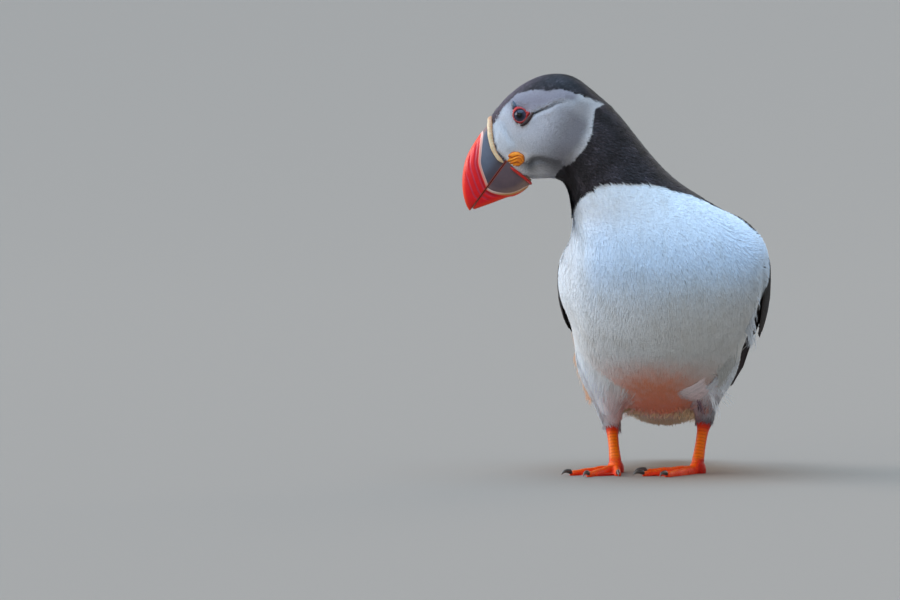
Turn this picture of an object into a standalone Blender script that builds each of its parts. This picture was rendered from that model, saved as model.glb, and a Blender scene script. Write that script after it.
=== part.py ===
"""Atlantic puffin, a life-size standing figure.

The bird stands upright on two webbed feet, faces -Y, and looks down past its own right side (-X).
The work is done in millimetres, and the finished nodes are scaled to metres.
The origin is on the floor, below the middle of the bird's box.
"""

from math import cos, pi, radians, sin

import bmesh
import bpy
import numpy as np
from mathutils import Matrix, Vector

MM = 0.001  # one millimetre in metres
GAP = 0.3  # clear space between two nodes that touch

# ---------------------------------------------------------------- driving dimensions (mm, degrees)

# Trunk sections, tail end first: middle x, lowest point (y, z), highest point (y, z),
# half width, and how far the section leans up towards the bird's left side.
TRUNK = [
    # x    belly        back        half   lean
    (0, (66, 27), (77, 42), 11, 0),
    (0, (55, 24), (73, 57), 20, 0),
    (0, (39, 24), (66, 77), 29, 0),
    (0, (18, 30), (57, 97), 38, 0),
    (0, (-6, 38), (45, 114), 45, 0),
    (2, (-30, 50), (32, 128), 49.7, 0),
    (4.5, (-49, 68), (19, 136), 52.3, 0),
    (6.0, (-59, 89), (8, 137.5), 48.8, 0),
    (3, (-61, 110), (1, 138.5), 42.6, 0),
    (-5, (-58, 124.5), (-3, 141.5), 34.5, 7),
]

# Neck sections: middle, lean, pitch of the front direction, twist towards the right, front and side radius.
NECK = [
    ((-15.5, -29, 143.5), 22, 8, 36, 26.3, 25.8),
    ((-23.5, -29.5, 156), 44, 0, 66, 22.8, 21.5),
]

# The head's own frame: forward along the gape, up through the crown, left towards its left eye.
HEAD_MIDDLE = (-47.3, -30, 175.5)
HEAD_LEAN = 53.1
HEAD_TWIST = 82

# Head sections from the throat to the crown: height, back, front, half width, taper to the face, fullness.
HEAD = [
    (-19, -24.9, 18.8, 20.3, 0.05, 2.0),
    (-14, -25.4, 21.5, 20.3, 0.12, 2.1),
    (-8, -25.8, 26.5, 20.3, 0.25, 2.4),
    (-2, -26.0, 29.5, 20.0, 0.38, 2.7),
    (4.5, -26.0, 30.0, 19.0, 0.40, 2.8),
    (10, -24.8, 29.0, 17.6, 0.38, 2.8),
    (16, -21.2, 26.0, 15.6, 0.34, 2.7),
    (21.5, -15.5, 22.8, 12.8, 0.28, 2.5),
    (25.8, -7.5, 19.7, 9.2, 0.15, 2.2),
    (28.0, 0.5, 16.4, 5.2, 0.05, 2.0),
    (28.7, 5.0, 12.0, 2.0, 0.0, 2.0),
]

# Bill outline in the head's frame, (forward, up): the culmen ridge, the gape line and the keel below.
CULMEN = [(14.5, 27.2), (24.0, 27.6), (32.2, 27.1), (38.8, 25.9), (44.5, 23.5), (49.6, 20.3), (54.1, 16.3), (57.6, 11.8), (59.0, 8.7)]
GAPE_UP = 8.3
UPPER_GAPE = (28.0, 58.7)
LOWER_GAPE = (28.0, 57.2)
KEEL = [(28.0, -6.6), (32.0, -7.3), (36.1, -6.3), (39.6, -4.6), (42.8, -1.9), (50.0, 2.6), (57.0, 7.2)]
BILL_HALF_WIDTH = [8.4, 8.0, 7.2, 6.1, 4.9, 3.6, 2.3, 1.0]
BILL_BULGE = 2.4

CERE_RADIUS = 1.35
EYE_PLACE = (6.5, 16.1)
EYE_RADIUS = 4.3
EYE_SINK = 2.5
RING_RADIUS = 3.75
RING_THICK = 0.7
ROSETTE_PLACE = (25.2, 5.4)
ROSETTE_RADII = (4.9, 3.6, 1.5)

# Folded wing on the trunk: how far it runs along the sections, the band of angles, and its depth.
WING_SPAN = (2.4, 7.1)
WING_ANGLE = 26  # middle of the band at the bend of the wing, degrees from the side towards the back
WING_ANGLE_REAR = 24
WING_HALF_BAND = 34
WING_DEPTH = {"left": 6.2, "right": 3.8}
WING_EDGE = 0.6
WING_SUNK = 1.6

# Long flight feathers past the wing's end: middle, half height, half thickness.
PRIMARIES = [
    ((41.5, 36, 84), 12.0, 1.6),
    ((39.5, 48, 74), 10.5, 1.7),
    ((35.5, 61, 62), 8.0, 1.5),
    ((30.0, 74, 51), 5.0, 1.1),
    ((26.0, 85, 42), 1.8, 0.6),
]

# Tail: middle, half width, half thickness.
TAIL = [
    ((0, 66, 38.0), 10.0, 6.0),
    ((0, 76, 35.3), 13.5, 5.2),
    ((0, 86, 32.3), 16.0, 3.2),
    ((0, 95, 29.5), 14.5, 1.6),
    ((0, 100, 28.0), 8.5, 0.8),
]

# Legs, each from the body down: the feathered thigh's sections (x, y, z, side radius, front radius),
# the ankle, the heel above the foot, and how far the foot turns outwards.
STANCE = {
    "left": {
        "side": 1,
        "thigh": [
            (25.0, 6, 74, 12, 16),
            (29.5, 8, 60, 13, 17),
            (27.5, 12, 47, 10.6, 14),
            (24.8, 16, 38, 7.4, 9.5),
            (23.6, 19, 31, 5.4, 6.4),
            (23.2, 20.5, 26, 4.4, 5.0),
        ],
        "ankle": (23.2, 21, 27.5),
        "heel": (20.5, 11, 5.0),
        "toe_out": -44,
    },
    "right": {
        "side": -1,
        "thigh": [
            (-25.0, 6, 74, 12, 16),
            (-29.3, 8, 60, 12.8, 17),
            (-28.0, 12, 47, 10.8, 14),
            (-26.2, 16, 37, 8.0, 9.8),
            (-25.0, 19, 29, 5.7, 6.6),
            (-24.6, 20.5, 24, 4.5, 5.1),
        ],
        "ankle": (-24.6, 21, 25.5),
        "heel": (-21.3, 11, 5.0),
        "toe_out": 16,
    },
}
TARSUS = [(0.0, 3.7, 4.2), (0.12, 4.0, 4.3), (0.3, 2.9, 3.3), (0.6, 2.5, 3.0), (0.85, 2.9, 3.2), (1.0, 3.4, 3.4)]

# Toes: angle from the foot's middle line (inner side positive), length without the claw.
TOES = {"inner": (25, 27.0), "middle": (0, 36.0), "outer": (-21, 33.0)}
TOE_WIDTH = 2.3
TOE_HEIGHT = 4.4
WEB_THICK = 1.3
WEB_REACH = 0.9  # how far the web runs along each toe
WEB_SCALLOP = 0.16
CLAW_LENGTH = 6.5
CLAW_RADIUS = 1.5

# Cuts between the nodes: a point and the direction towards the head.
NECK_CUT = ((-12, -28, 142), (-0.25, -0.10, 0.96))
HEAD_CUT = ((-37.5, -30, 169), (-0.867, 0.0, 0.497))

RING_POINTS = 24
STEPS = (1.8, 2.3, 1.4)  # loft rings for each section of the tables: trunk, neck, head

COLOURS = {
    "white_feather": ((0.84, 0.85, 0.86), 0.8),
    "black_feather": ((0.035, 0.033, 0.036), 0.6),
    "grey_feather": ((0.52, 0.54, 0.58), 0.75),
    "red_horn": ((0.72, 0.05, 0.03), 0.35),
    "ivory_skin": ((0.80, 0.72, 0.52), 0.45),
    "orange_skin": ((0.85, 0.20, 0.03), 0.45),
    "rosette_skin": ((0.90, 0.48, 0.03), 0.5),
    "eye": ((0.05, 0.04, 0.04), 0.08),
    "red_lid": ((0.62, 0.03, 0.03), 0.4),
    "dark_claw": ((0.06, 0.055, 0.05), 0.35),
}


# ---------------------------------------------------------------- tools

FIRST_FORMS = {}


def spline(rows, t):
    """The Catmull-Rom curve through the rows, at t counted in rows."""
    rows = np.asarray(rows, float)
    last = len(rows) - 1
    t = np.clip(np.atleast_1d(np.asarray(t, float)), 0, last)
    i = np.minimum(t.astype(int), last - 1)
    s = (t - i)[:, None]
    before, here = rows[np.maximum(i - 1, 0)], rows[i]
    after, beyond = rows[i + 1], rows[np.minimum(i + 2, last)]
    return 0.5 * (
        2 * here
        + (after - before) * s
        + (2 * before - 5 * here + 4 * after - beyond) * s**2
        + (3 * here - before - 3 * after + beyond) * s**3
    )


def unit(v):
    v = np.asarray(v, float)
    return v / np.linalg.norm(v, axis=-1, keepdims=True)


def material(name):
    made = bpy.data.materials.get(name)
    if made is None:
        made = bpy.data.materials.new(name)
        made.use_nodes = True
        colour, roughness = COLOURS[name]
        shader = made.node_tree.nodes["Principled BSDF"]
        shader.inputs["Base Color"].default_value = (*colour, 1)
        shader.inputs["Roughness"].default_value = roughness
        shader.inputs["Metallic"].default_value = 0.0
    return made


def node(name, form, finish):
    """A named object from a bmesh in millimetres. Its first form is kept, to cut room for it later."""
    form.normal_update()
    bmesh.ops.recalc_face_normals(form, faces=form.faces)
    if form.calc_volume(signed=True) < 0:
        bmesh.ops.reverse_faces(form, faces=form.faces)
    mesh = bpy.data.meshes.new(name)
    form.to_mesh(mesh)
    form.free()
    mesh.shade_smooth()
    mesh.set_sharp_from_angle(angle=radians(40))
    mesh.materials.append(material(finish))
    obj = bpy.data.objects.new(name, mesh)
    FIRST_FORMS[name] = mesh.copy()
    bpy.context.scene.collection.objects.link(obj)
    return obj


def loft(rings):
    """A closed form through rings of points, with flat ends."""
    form = bmesh.new()
    loops = [[form.verts.new(p) for p in ring] for ring in rings]
    for a, b in zip(loops, loops[1:]):
        for i in range(len(a)):
            j = (i + 1) % len(a)
            form.faces.new((a[i], a[j], b[j], b[i]))
    ends = [form.faces.new(loops[0][::-1]), form.faces.new(loops[-1])]
    bmesh.ops.triangulate(form, faces=ends)
    return form


def swollen(obj, by):
    """A hidden copy of the object, grown along its normals, to cut room for it out of a neighbour."""
    mesh = FIRST_FORMS[obj.name].copy()
    form = bmesh.new()
    form.from_mesh(mesh)
    form.normal_update()
    moves = [v.normal * v.calc_shell_factor() * by for v in form.verts]
    for v, move in zip(form.verts, moves):
        v.co += move
    form.to_mesh(mesh)
    form.free()
    cutter = bpy.data.objects.new("cutter", mesh)
    cutter.matrix_world = obj.matrix_world
    cutter.hide_render = True
    cutter.display_type = "WIRE"
    bpy.context.scene.collection.objects.link(cutter)
    return cutter


def settle(obj):
    """Applies the object's modifiers."""
    bpy.context.view_layer.update()
    graph = bpy.context.evaluated_depsgraph_get()
    mesh = bpy.data.meshes.new_from_object(obj.evaluated_get(graph))
    obj.modifiers.clear()
    obj.data = mesh


def boolean(obj, others, operation):
    """Joins the others to the object or cuts them away from it, all in one step, and removes them."""
    group = bpy.data.collections.new("operands")
    for other in others:
        group.objects.link(other)
    step = obj.modifiers.new("cut", "BOOLEAN")
    step.operation = operation
    step.operand_type = "COLLECTION"
    step.collection = group
    step.solver = "EXACT"
    settle(obj)
    for other in others:
        bpy.data.objects.remove(other)
    bpy.data.collections.remove(group)


def drop_chips(obj):
    """Keeps the largest connected piece of the object."""
    form = bmesh.new()
    form.from_mesh(obj.data)
    waiting, pieces = set(form.verts), []
    while waiting:
        front, piece = [waiting.pop()], set()
        while front:
            v = front.pop()
            piece.add(v)
            for edge in v.link_edges:
                far = edge.other_vert(v)
                if far in waiting:
                    waiting.remove(far)
                    front.append(far)
        pieces.append(piece)
    pieces.sort(key=len)
    bmesh.ops.delete(form, geom=[v for piece in pieces[:-1] for v in piece], context="VERTS")
    form.to_mesh(obj.data)
    form.free()


def make_room(obj, *neighbours, gap=GAP):
    """Cuts the neighbours, swollen by the gap, out of the object."""
    boolean(obj, [swollen(other, gap) for other in neighbours], "DIFFERENCE")
    drop_chips(obj)


def oval(middle, across, along, angles, taper=0.0, fullness=2.0):
    """Ring points: angle 0 is the side, 90 the back and 270 the front. Taper narrows it to the front."""
    c, s = np.cos(angles)[:, None], np.sin(angles)[:, None]
    c = np.sign(c) * np.abs(c) ** (2 / fullness)
    s = np.sign(s) * np.abs(s) ** (2 / fullness)
    return middle + across * c * (1 + taper * s) - along * s


def turn(count, start=0.0):
    return start + np.arange(count) * 2 * pi / count


# ---------------------------------------------------------------- the body's sections


def section_frame(lean, pitch, twist):
    """(front, left) directions of a section."""
    side = np.array([cos(radians(lean)), 0, sin(radians(lean))])
    front = np.array([0, -cos(radians(pitch)), -sin(radians(pitch))])
    t = radians(twist)
    forward = unit(front * cos(t) - side * sin(t))
    left = side * cos(t) + front * sin(t)
    return forward, unit(left - forward * (left @ forward))


HEAD_FORWARD, HEAD_LEFT = section_frame(HEAD_LEAN, 0, HEAD_TWIST)
HEAD_UP = np.cross(HEAD_FORWARD, HEAD_LEFT)


def head_point(forward, up, left):
    """A point of the head's frame in the bird's frame."""
    forward, up, left = (np.asarray(a, float)[..., None] for a in (forward, up, left))
    return np.array(HEAD_MIDDLE) + forward * HEAD_FORWARD + up * HEAD_UP + left * HEAD_LEFT


def body_rows():
    """Every section from the tail to the crown: middle, front radius, side radius, taper and fullness."""
    rows = []
    for x, belly, back, half, lean in TRUNK:
        belly, back = np.array((x, *belly), float), np.array((x, *back), float)
        drop, reach = back[2] - belly[2], back[1] - belly[1]
        forward, left = section_frame(lean, np.degrees(np.arctan2(drop, reach)), 0)
        radius = np.linalg.norm(back - belly) / 2
        rows.append((*((belly + back) / 2), *(forward * radius), *(left * half), 0.0, 2.1))
    for middle, lean, pitch, twist, front, side in NECK:
        forward, left = section_frame(lean, pitch, twist)
        rows.append((*middle, *(forward * front), *(left * side), 0.0, 2.0))
    for up, back, front, half, taper, fullness in HEAD:
        middle = head_point((front + back) / 2, up, 0)
        rows.append((*middle, *(HEAD_FORWARD * (front - back) / 2), *(HEAD_LEFT * half), taper, fullness))
    return np.array(rows)


BODY = body_rows()


def body_ring(t, angles, out=0.0):
    """Points of the body's surface round the section at t, moved out by a distance."""
    row = spline(BODY, t)[0]
    along, across = row[3:6], row[6:9]
    along = unit(along) * (np.linalg.norm(along) + np.asarray(out)[..., None])
    across = unit(across) * (np.linalg.norm(across) + np.asarray(out)[..., None])
    return oval(row[0:3], across, along, np.asarray(angles, float), row[9], row[10])


def whole_body():
    """The loft of all the sections, from the tail end to a small cap on the crown."""
    stops = (0, len(TRUNK) - 0.8, len(TRUNK) + len(NECK), len(BODY) - 1)
    places = [0.0]
    for start, end, step in zip(stops, stops[1:], STEPS):
        places += list(np.linspace(start, end, round((end - start) * step) + 1)[1:])
    return loft([body_ring(t, turn(RING_POINTS)) for t in places])


def body_part(name, finish, above=None, below=None):
    """The part of the whole body above one cut and below another, half a gap clear of each."""
    form = whole_body()
    for cut, sign in ((above, -1), (below, 1)):
        if cut is None:
            continue
        point, normal = np.array(cut[0]), unit(cut[1])
        everything = [*form.verts, *form.edges, *form.faces]
        clear = point - normal * sign * GAP / 2
        bmesh.ops.bisect_plane(form, geom=everything, dist=1e-5, plane_co=clear, plane_no=normal * sign, clear_outer=True)
        rim = [e for e in form.edges if e.is_boundary]
        lid = bmesh.ops.edgeloop_fill(form, edges=rim)["faces"]
        bmesh.ops.triangulate(form, faces=lid)
    return node(name, form, finish)


# ---------------------------------------------------------------- wings and tail


def wing(name, side, depth):
    """The folded wing: a pad that follows the trunk, thickest at its middle and rounded at the bend."""
    along = np.linspace(0, 1, 11)
    across = np.linspace(-1, 1, 8)

    def row(share, outer):
        t = WING_SPAN[1] + (WING_SPAN[0] - WING_SPAN[1]) * share
        middle = WING_ANGLE + (WING_ANGLE_REAR - WING_ANGLE) * share
        bend = np.sqrt(1 - (1 - min(1, share / 0.28 + 0.05)) ** 2)
        half = WING_HALF_BAND * bend * (1 - 0.18 * share)
        swell = (1 - across**2) ** 0.6 * np.sin(pi * (0.02 + 0.93 * share**1.7)) ** 1.1
        out = WING_EDGE + depth * swell if outer else -WING_SUNK
        angles = np.radians(middle + across * half)
        if side < 0:
            angles = pi - angles
        return body_ring(t, angles, np.broadcast_to(out, across.shape))

    form = bmesh.new()
    sheets = [[[form.verts.new(p) for p in row(s, outer)] for s in along] for outer in (0, 1)]
    for grid in sheets:
        for a, b in zip(grid, grid[1:]):
            for i in range(len(a) - 1):
                form.faces.new((a[i], a[i + 1], b[i + 1], b[i]))
    rims = []
    for grid in sheets:
        rim = grid[0] + [r[-1] for r in grid[1:-1]] + grid[-1][::-1] + [r[0] for r in grid[-2:0:-1]]
        rims.append(rim)
    for i in range(len(rims[0])):
        j = (i + 1) % len(rims[0])
        form.faces.new((rims[0][i], rims[0][j], rims[1][j], rims[1][i]))
    return node(name, form, "black_feather")


def blade(name, rows, side, count, finish):
    """A flat tapered blade through rows of middle, half height and half thickness."""
    table = [(side * x, y, z, height, thick) for (x, y, z), height, thick in rows]
    places = spline(table, np.linspace(0, len(table) - 1, count))
    rings = []
    for i, row in enumerate(places):
        ahead = places[min(i + 1, count - 1)][:3] - places[max(i - 1, 0)][:3]
        outward = unit(np.array([side, 0.35, 0.35]))
        tall = unit(np.cross(ahead, outward))
        rings.append(oval(row[:3], tall * row[3], unit(np.cross(ahead, tall)) * row[4], turn(10)))
    return node(name, loft(rings), finish)


def tail():
    table = [(*middle, half, thick) for middle, half, thick in TAIL]
    places = spline(table, np.linspace(0, len(table) - 1, 8))
    rings = [oval(r[:3], np.array([r[3], 0, 0]), np.array([0, 0.2, -0.98]) * r[4], turn(16), 0, 2.3) for r in places]
    return node("tail", loft(rings), "black_feather")


# ---------------------------------------------------------------- legs and feet


def thigh(name, leg):
    table = spline(leg["thigh"], np.linspace(0, len(leg["thigh"]) - 1, 10))
    rings = [oval(r[:3], np.array([-r[3], 0, 0]), np.array([0, -r[4], 0]), turn(14)) for r in table]
    return node(name, loft(rings), "white_feather")


def tarsus(name, leg):
    """The bare shank from the ankle to the heel, of oval sections."""
    start, end = np.array(leg["ankle"], float), np.array(leg["heel"], float)
    axis = unit(end - start)
    across = unit(np.cross(axis, [0, 1, 0]))
    front = np.cross(across, axis)
    rings = []
    for share, side_radius, front_radius in spline(TARSUS, np.linspace(0, len(TARSUS) - 1, 11)):
        rings.append(oval(start + (end - start) * share, across * side_radius, front * front_radius, turn(12)))
    return node(name, loft(rings), "orange_skin")


def heel_of(leg):
    return np.array([leg["heel"][0], leg["heel"][1], 0.0])


def floor_direction(degrees, side):
    """A direction on the floor, turned outwards from straight ahead."""
    return np.array([side * sin(radians(degrees)), -cos(radians(degrees)), 0])


def toe_direction(leg, toe):
    return floor_direction(leg["toe_out"] - TOES[toe][0], leg["side"])


def toe_form(heel, direction, length):
    """A toe of oval sections, with a low knuckle between its joints. The floor cuts it flat later."""
    across = np.array([-direction[1], direction[0], 0])
    rings = []
    for share in np.linspace(0, 1, 6):
        width = TOE_WIDTH * (1 - 0.3 * share) * (1 + 0.08 * cos(share * 6 * pi))
        height = TOE_HEIGHT * (1 - 0.42 * share) - 0.7
        if share == 1:
            width, height = width * 0.55, height * 0.55
        middle = heel + direction * length * share + np.array([0, 0, 0.7])
        rings.append(oval(middle, across * width, np.array([0, 0, -height]), turn(8)))
    return loft(rings)


def web_form(heel, leg):
    """The flat web: straight along the outer toes and scalloped between their tips."""
    names = ["outer", "middle", "inner"]
    corners = [heel - toe_direction(leg, "middle") * 2.5]
    for i, name in enumerate(names):
        tip = heel + toe_direction(leg, name) * TOES[name][1] * WEB_REACH
        corners.append(tip)
        if name != "inner":
            after = names[i + 1]
            next_tip = heel + toe_direction(leg, after) * TOES[after][1] * WEB_REACH
            for share in (0.2, 0.4, 0.6, 0.8):
                edge = tip + (next_tip - tip) * share
                corners.append(edge + (heel - edge) * WEB_SCALLOP * 4 * share * (1 - share))
    return loft([np.array([(p[0], p[1], z) for p in corners]) for z in (-2.0, WEB_THICK)])


def foot(name, leg):
    """One piece: heel pad, three toes and the web between them, cut flat by the floor."""
    heel = heel_of(leg)
    whole = node(name, web_form(heel, leg), "orange_skin")
    parts = []
    for toe, (_, length) in TOES.items():
        parts.append(node("toe", toe_form(heel, toe_direction(leg, toe), length), "orange_skin"))
    pad = bmesh.new()
    bmesh.ops.create_uvsphere(pad, u_segments=10, v_segments=7, radius=1)
    bmesh.ops.scale(pad, vec=(4.3, 4.6, 4.9), verts=pad.verts)
    bmesh.ops.translate(pad, vec=(*(heel[:2] + 0.07), 1.3), verts=pad.verts)
    parts.append(node("pad", pad, "orange_skin"))
    boolean(whole, parts, "UNION")
    form = bmesh.new()
    form.from_mesh(whole.data)
    everything = [*form.verts, *form.edges, *form.faces]
    bmesh.ops.bisect_plane(form, geom=everything, dist=1e-5, plane_co=(0, 0, 0), plane_no=(0, 0, -1), clear_outer=True)
    rim = [e for e in form.edges if e.is_boundary]
    sole = bmesh.ops.edgeloop_fill(form, edges=rim)["faces"]
    bmesh.ops.recalc_face_normals(form, faces=form.faces)
    bmesh.ops.triangulate(form, faces=sole)
    form.to_mesh(whole.data)
    form.free()
    FIRST_FORMS[name] = whole.data.copy()
    return whole


def claw(name, leg, toe):
    """A short curved claw past the toe's end, its point just off the floor."""
    heel = heel_of(leg)
    direction = toe_direction(leg, toe)
    start = heel + direction * (TOES[toe][1] + GAP)
    across = np.array([-direction[1], direction[0], 0])
    rings = []
    for share in np.linspace(0, 1, 6):
        radius = CLAW_RADIUS * (1 - 0.85 * share)
        middle = start + direction * CLAW_LENGTH * sin(share * 1.25) / sin(1.25)
        rise = CLAW_RADIUS + 0.25 + 0.7 * sin(pi * share) - (CLAW_RADIUS - 0.35) * share**2
        middle = middle + np.array([0, 0, rise])
        upright = unit(np.array([0, 0, 1]) + direction * 0.9 * share)
        rings.append(oval(middle, across * radius * 0.8, upright * radius, turn(8)))
    return node(name, loft(rings), "dark_claw")


# ---------------------------------------------------------------- bill, eyes and face


def bill_half(name, outline, gape, up, finish, grow=0.0):
    """One mandible: slices from the gape line to the ridge or keel, from the base to the tip."""
    count = 13
    shares = np.linspace(0, 1, count) ** 0.92
    ridge = spline(outline, shares * (len(outline) - 1))
    half = spline(np.array(BILL_HALF_WIDTH)[:, None], shares * (len(BILL_HALF_WIDTH) - 1))[:, 0]
    rings = []
    for share, (forward, height), width in zip(shares, ridge, half):
        start = gape[0] + (gape[1] - gape[0]) * share
        bulge = BILL_BULGE * (1 - share) if name == "bill_upper" else 0.0
        angles = np.linspace(0, pi, 11)
        rise = np.sin(angles) ** 0.9
        side = np.sign(np.cos(angles)) * np.abs(np.cos(angles)) ** 0.75 * (width + grow)
        f = start + (forward - start) * rise + bulge * 4 * rise * (1 - rise)
        u = up + (height - up) * rise
        rings.append(head_point(f, u, side))
    return node(name, loft(rings), finish)


def bead(name, path, radii, finish):
    """A round bead along a path of points."""
    rings = []
    for i, middle in enumerate(path):
        ahead = unit(path[min(i + 1, len(path) - 1)] - path[max(i - 1, 0)])
        across = unit(np.cross(ahead, HEAD_FORWARD))
        rings.append(oval(middle, across * radii[i], np.cross(ahead, across) * radii[i], turn(8)))
    return node(name, loft(rings), finish)


def cere():
    """The pale fleshy ridge over the base of the upper mandible, from one gape corner to the other."""
    angles = np.linspace(0.10, pi - 0.10, 17)
    rise = np.sin(angles) ** 0.9
    side = np.sign(np.cos(angles)) * np.abs(np.cos(angles)) ** 0.75 * (BILL_HALF_WIDTH[0] + 0.5)
    base, top = np.array((30.0, GAPE_UP)), np.array((16.2, 28.0))
    f = base[0] + (top[0] - base[0]) * rise + BILL_BULGE * 4 * rise * (1 - rise) * 0.8
    u = base[1] + (top[1] - base[1]) * rise
    radii = CERE_RADIUS * (0.72 + 0.28 * np.sin(angles))
    return bead("cere", head_point(f, u, side), radii, "ivory_skin")


def chin_band():
    """The red band along the base of the lower mandible."""
    angles = np.linspace(0.16, pi - 0.16, 12)
    drop = np.sin(angles) ** 0.9
    side = np.sign(np.cos(angles)) * np.abs(np.cos(angles)) ** 0.75 * (BILL_HALF_WIDTH[0] + 0.1)
    u = GAPE_UP - 2.0 + (-7.4 - GAPE_UP + 2.0) * drop
    return bead("chin_band", head_point(np.full_like(u, 29.9), u, side), np.full(12, 0.95), "red_lid")


def cheek_width(forward, up):
    """Half width of the head's sections at a point of its side view."""
    rows = np.array([(r[0], (r[1] + r[2]) / 2, (r[2] - r[1]) / 2, r[3], r[4], r[5]) for r in HEAD])
    at = np.interp(up, rows[:, 0], np.arange(len(rows)))
    _, middle, radius, half, taper, fullness = spline(rows, at)[0]
    s = min(0.999, abs(forward - middle) / radius)
    c = (1 - s**fullness) ** (1 / fullness)
    return half * c * (1 - taper * s * np.sign(forward - middle))


def cheek_normal(forward, up):
    """The head's outward direction there, on the left side, in the head's frame."""
    step = 0.5
    slope_f = (cheek_width(forward + step, up) - cheek_width(forward - step, up)) / (2 * step)
    slope_u = (cheek_width(forward, up + step) - cheek_width(forward, up - step)) / (2 * step)
    return unit(np.array([-slope_f, -slope_u, 1.0]))


def in_head(side, local):
    """A direction of the head's frame, mirrored for the right side."""
    return HEAD_FORWARD * local[0] + HEAD_UP * local[1] + HEAD_LEFT * local[2] * side


def on_cheek(side, forward, up, out=0.0):
    local = cheek_normal(forward, up)
    place = head_point(forward, up, side * cheek_width(forward, up)) + in_head(side, local) * out
    return place, in_head(side, local)


def eye_axis(side):
    """The middle of the lids on the cheek, and the way the eye looks: halfway to straight sideways."""
    middle, outward = on_cheek(side, *EYE_PLACE)
    return middle, unit(outward + HEAD_LEFT * side)


def eye(name, side):
    middle, outward = eye_axis(side)
    middle = middle - outward * EYE_SINK
    form = bmesh.new()
    bmesh.ops.create_uvsphere(form, u_segments=12, v_segments=7, radius=EYE_RADIUS)
    bmesh.ops.translate(form, vec=middle, verts=form.verts)
    return node(name, form, "eye")


def eye_ring(name, side):
    """The red lid round the eye: a bead with three soft corners."""
    middle, outward = eye_axis(side)
    along = unit(np.cross(outward, HEAD_UP)) * -side
    tall = np.cross(outward, along) * side
    angles = turn(16)
    reach = RING_RADIUS * (1 + 0.07 * np.cos(3 * (angles - radians(200))))
    around = [middle + (along * cos(a) + tall * sin(a)) * r for a, r in zip(angles, reach)]
    form = bmesh.new()
    loops = []
    for a, place in zip(angles, around):
        away = along * cos(a) + tall * sin(a)
        spots = oval(place, away * RING_THICK, outward * RING_THICK, turn(6))
        loops.append([form.verts.new(p) for p in spots])
    for a, b in zip(loops, loops[1:] + loops[:1]):
        for i in range(6):
            form.faces.new((a[i], a[(i + 1) % 6], b[(i + 1) % 6], b[i]))
    return node(name, form, "red_lid")


def rosette(name, side):
    """The wrinkled yellow pad at the corner of the mouth."""
    middle, outward = on_cheek(side, *ROSETTE_PLACE, out=0.5)
    long_way = in_head(side, unit(np.array([0.6, 0.8, 0.0])))
    long_way = unit(long_way - outward * (long_way @ outward))
    short_way = np.cross(outward, long_way)
    form = bmesh.new()
    bmesh.ops.create_uvsphere(form, u_segments=12, v_segments=7, radius=1)
    for v in form.verts:
        a, b, c = (r * x for r, x in zip(ROSETTE_RADII, v.co))
        v.co = Vector(middle + long_way * a + short_way * b + outward * c)
    return node(name, form, "rosette_skin")


# ---------------------------------------------------------------- assembly


def face_pieces():
    upper = bill_half("bill_upper", CULMEN, UPPER_GAPE, GAPE_UP + GAP / 2, "red_horn")
    lower = bill_half("bill_lower", KEEL, LOWER_GAPE, GAPE_UP - GAP / 2, "red_horn")
    ridge, band = cere(), chin_band()
    make_room(ridge, upper, lower)
    make_room(band, upper, lower, ridge)
    pieces = [upper, lower, ridge, band]
    for word, side in (("left", 1), ("right", -1)):
        pad = rosette(f"rosette_{word}", side)
        make_room(pad, *pieces[:4])
        ball, lid = eye(f"eye_{word}", side), eye_ring(f"eye_ring_{word}", side)
        make_room(lid, ball)
        pieces += [pad, ball, lid]
    return pieces


def stand_on_origin():
    """Turns millimetres into metres, with the floor at zero and the middle of the box over the origin."""
    corners = [Vector(c) for o in bpy.data.objects for c in o.bound_box]
    low = Vector(map(min, *corners))
    high = Vector(map(max, *corners))
    shift = Matrix.Translation((-(low.x + high.x) / 2, -(low.y + high.y) / 2, -low.z))
    for o in bpy.data.objects:
        o.data.transform(Matrix.Scale(MM, 4) @ shift)
    print("shift_mm", [round(c, 3) for c in shift.translation])


def main():
    for obj in list(bpy.data.objects):
        bpy.data.objects.remove(obj)
    trunk = body_part("trunk", "white_feather", below=NECK_CUT)
    body_part("neck", "black_feather", above=NECK_CUT, below=HEAD_CUT)
    head = body_part("head", "grey_feather", above=HEAD_CUT)
    make_room(head, *face_pieces())
    sunk = [tail()]
    for word, leg in STANCE.items():
        pad = wing(f"wing_{word}", leg["side"], WING_DEPTH[word])
        flight = blade(f"primaries_{word}", PRIMARIES, leg["side"], 9, "black_feather")
        make_room(flight, pad)
        sunk += [pad, flight]
    make_room(trunk, *sunk)
    for word, leg in STANCE.items():
        drumstick, shank, sole = thigh(f"thigh_{word}", leg), tarsus(f"tarsus_{word}", leg), foot(f"foot_{word}", leg)
        make_room(shank, sole)
        make_room(drumstick, trunk, shank)
        for toe in TOES:
            claw(f"claw_{word}_{toe}", leg, toe)
    stand_on_origin()


main()
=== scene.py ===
"""Atlantic puffin, a standing figure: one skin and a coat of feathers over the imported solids,
with bill, face, eyes and feet in detail. Lengths are millimetres until a piece is finished."""

from math import cos, pi, radians, sin

import bmesh
import bpy
import numpy as np
from mathutils import Matrix, Vector
from mathutils.bvhtree import BVHTree
from mathutils.kdtree import KDTree

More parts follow.
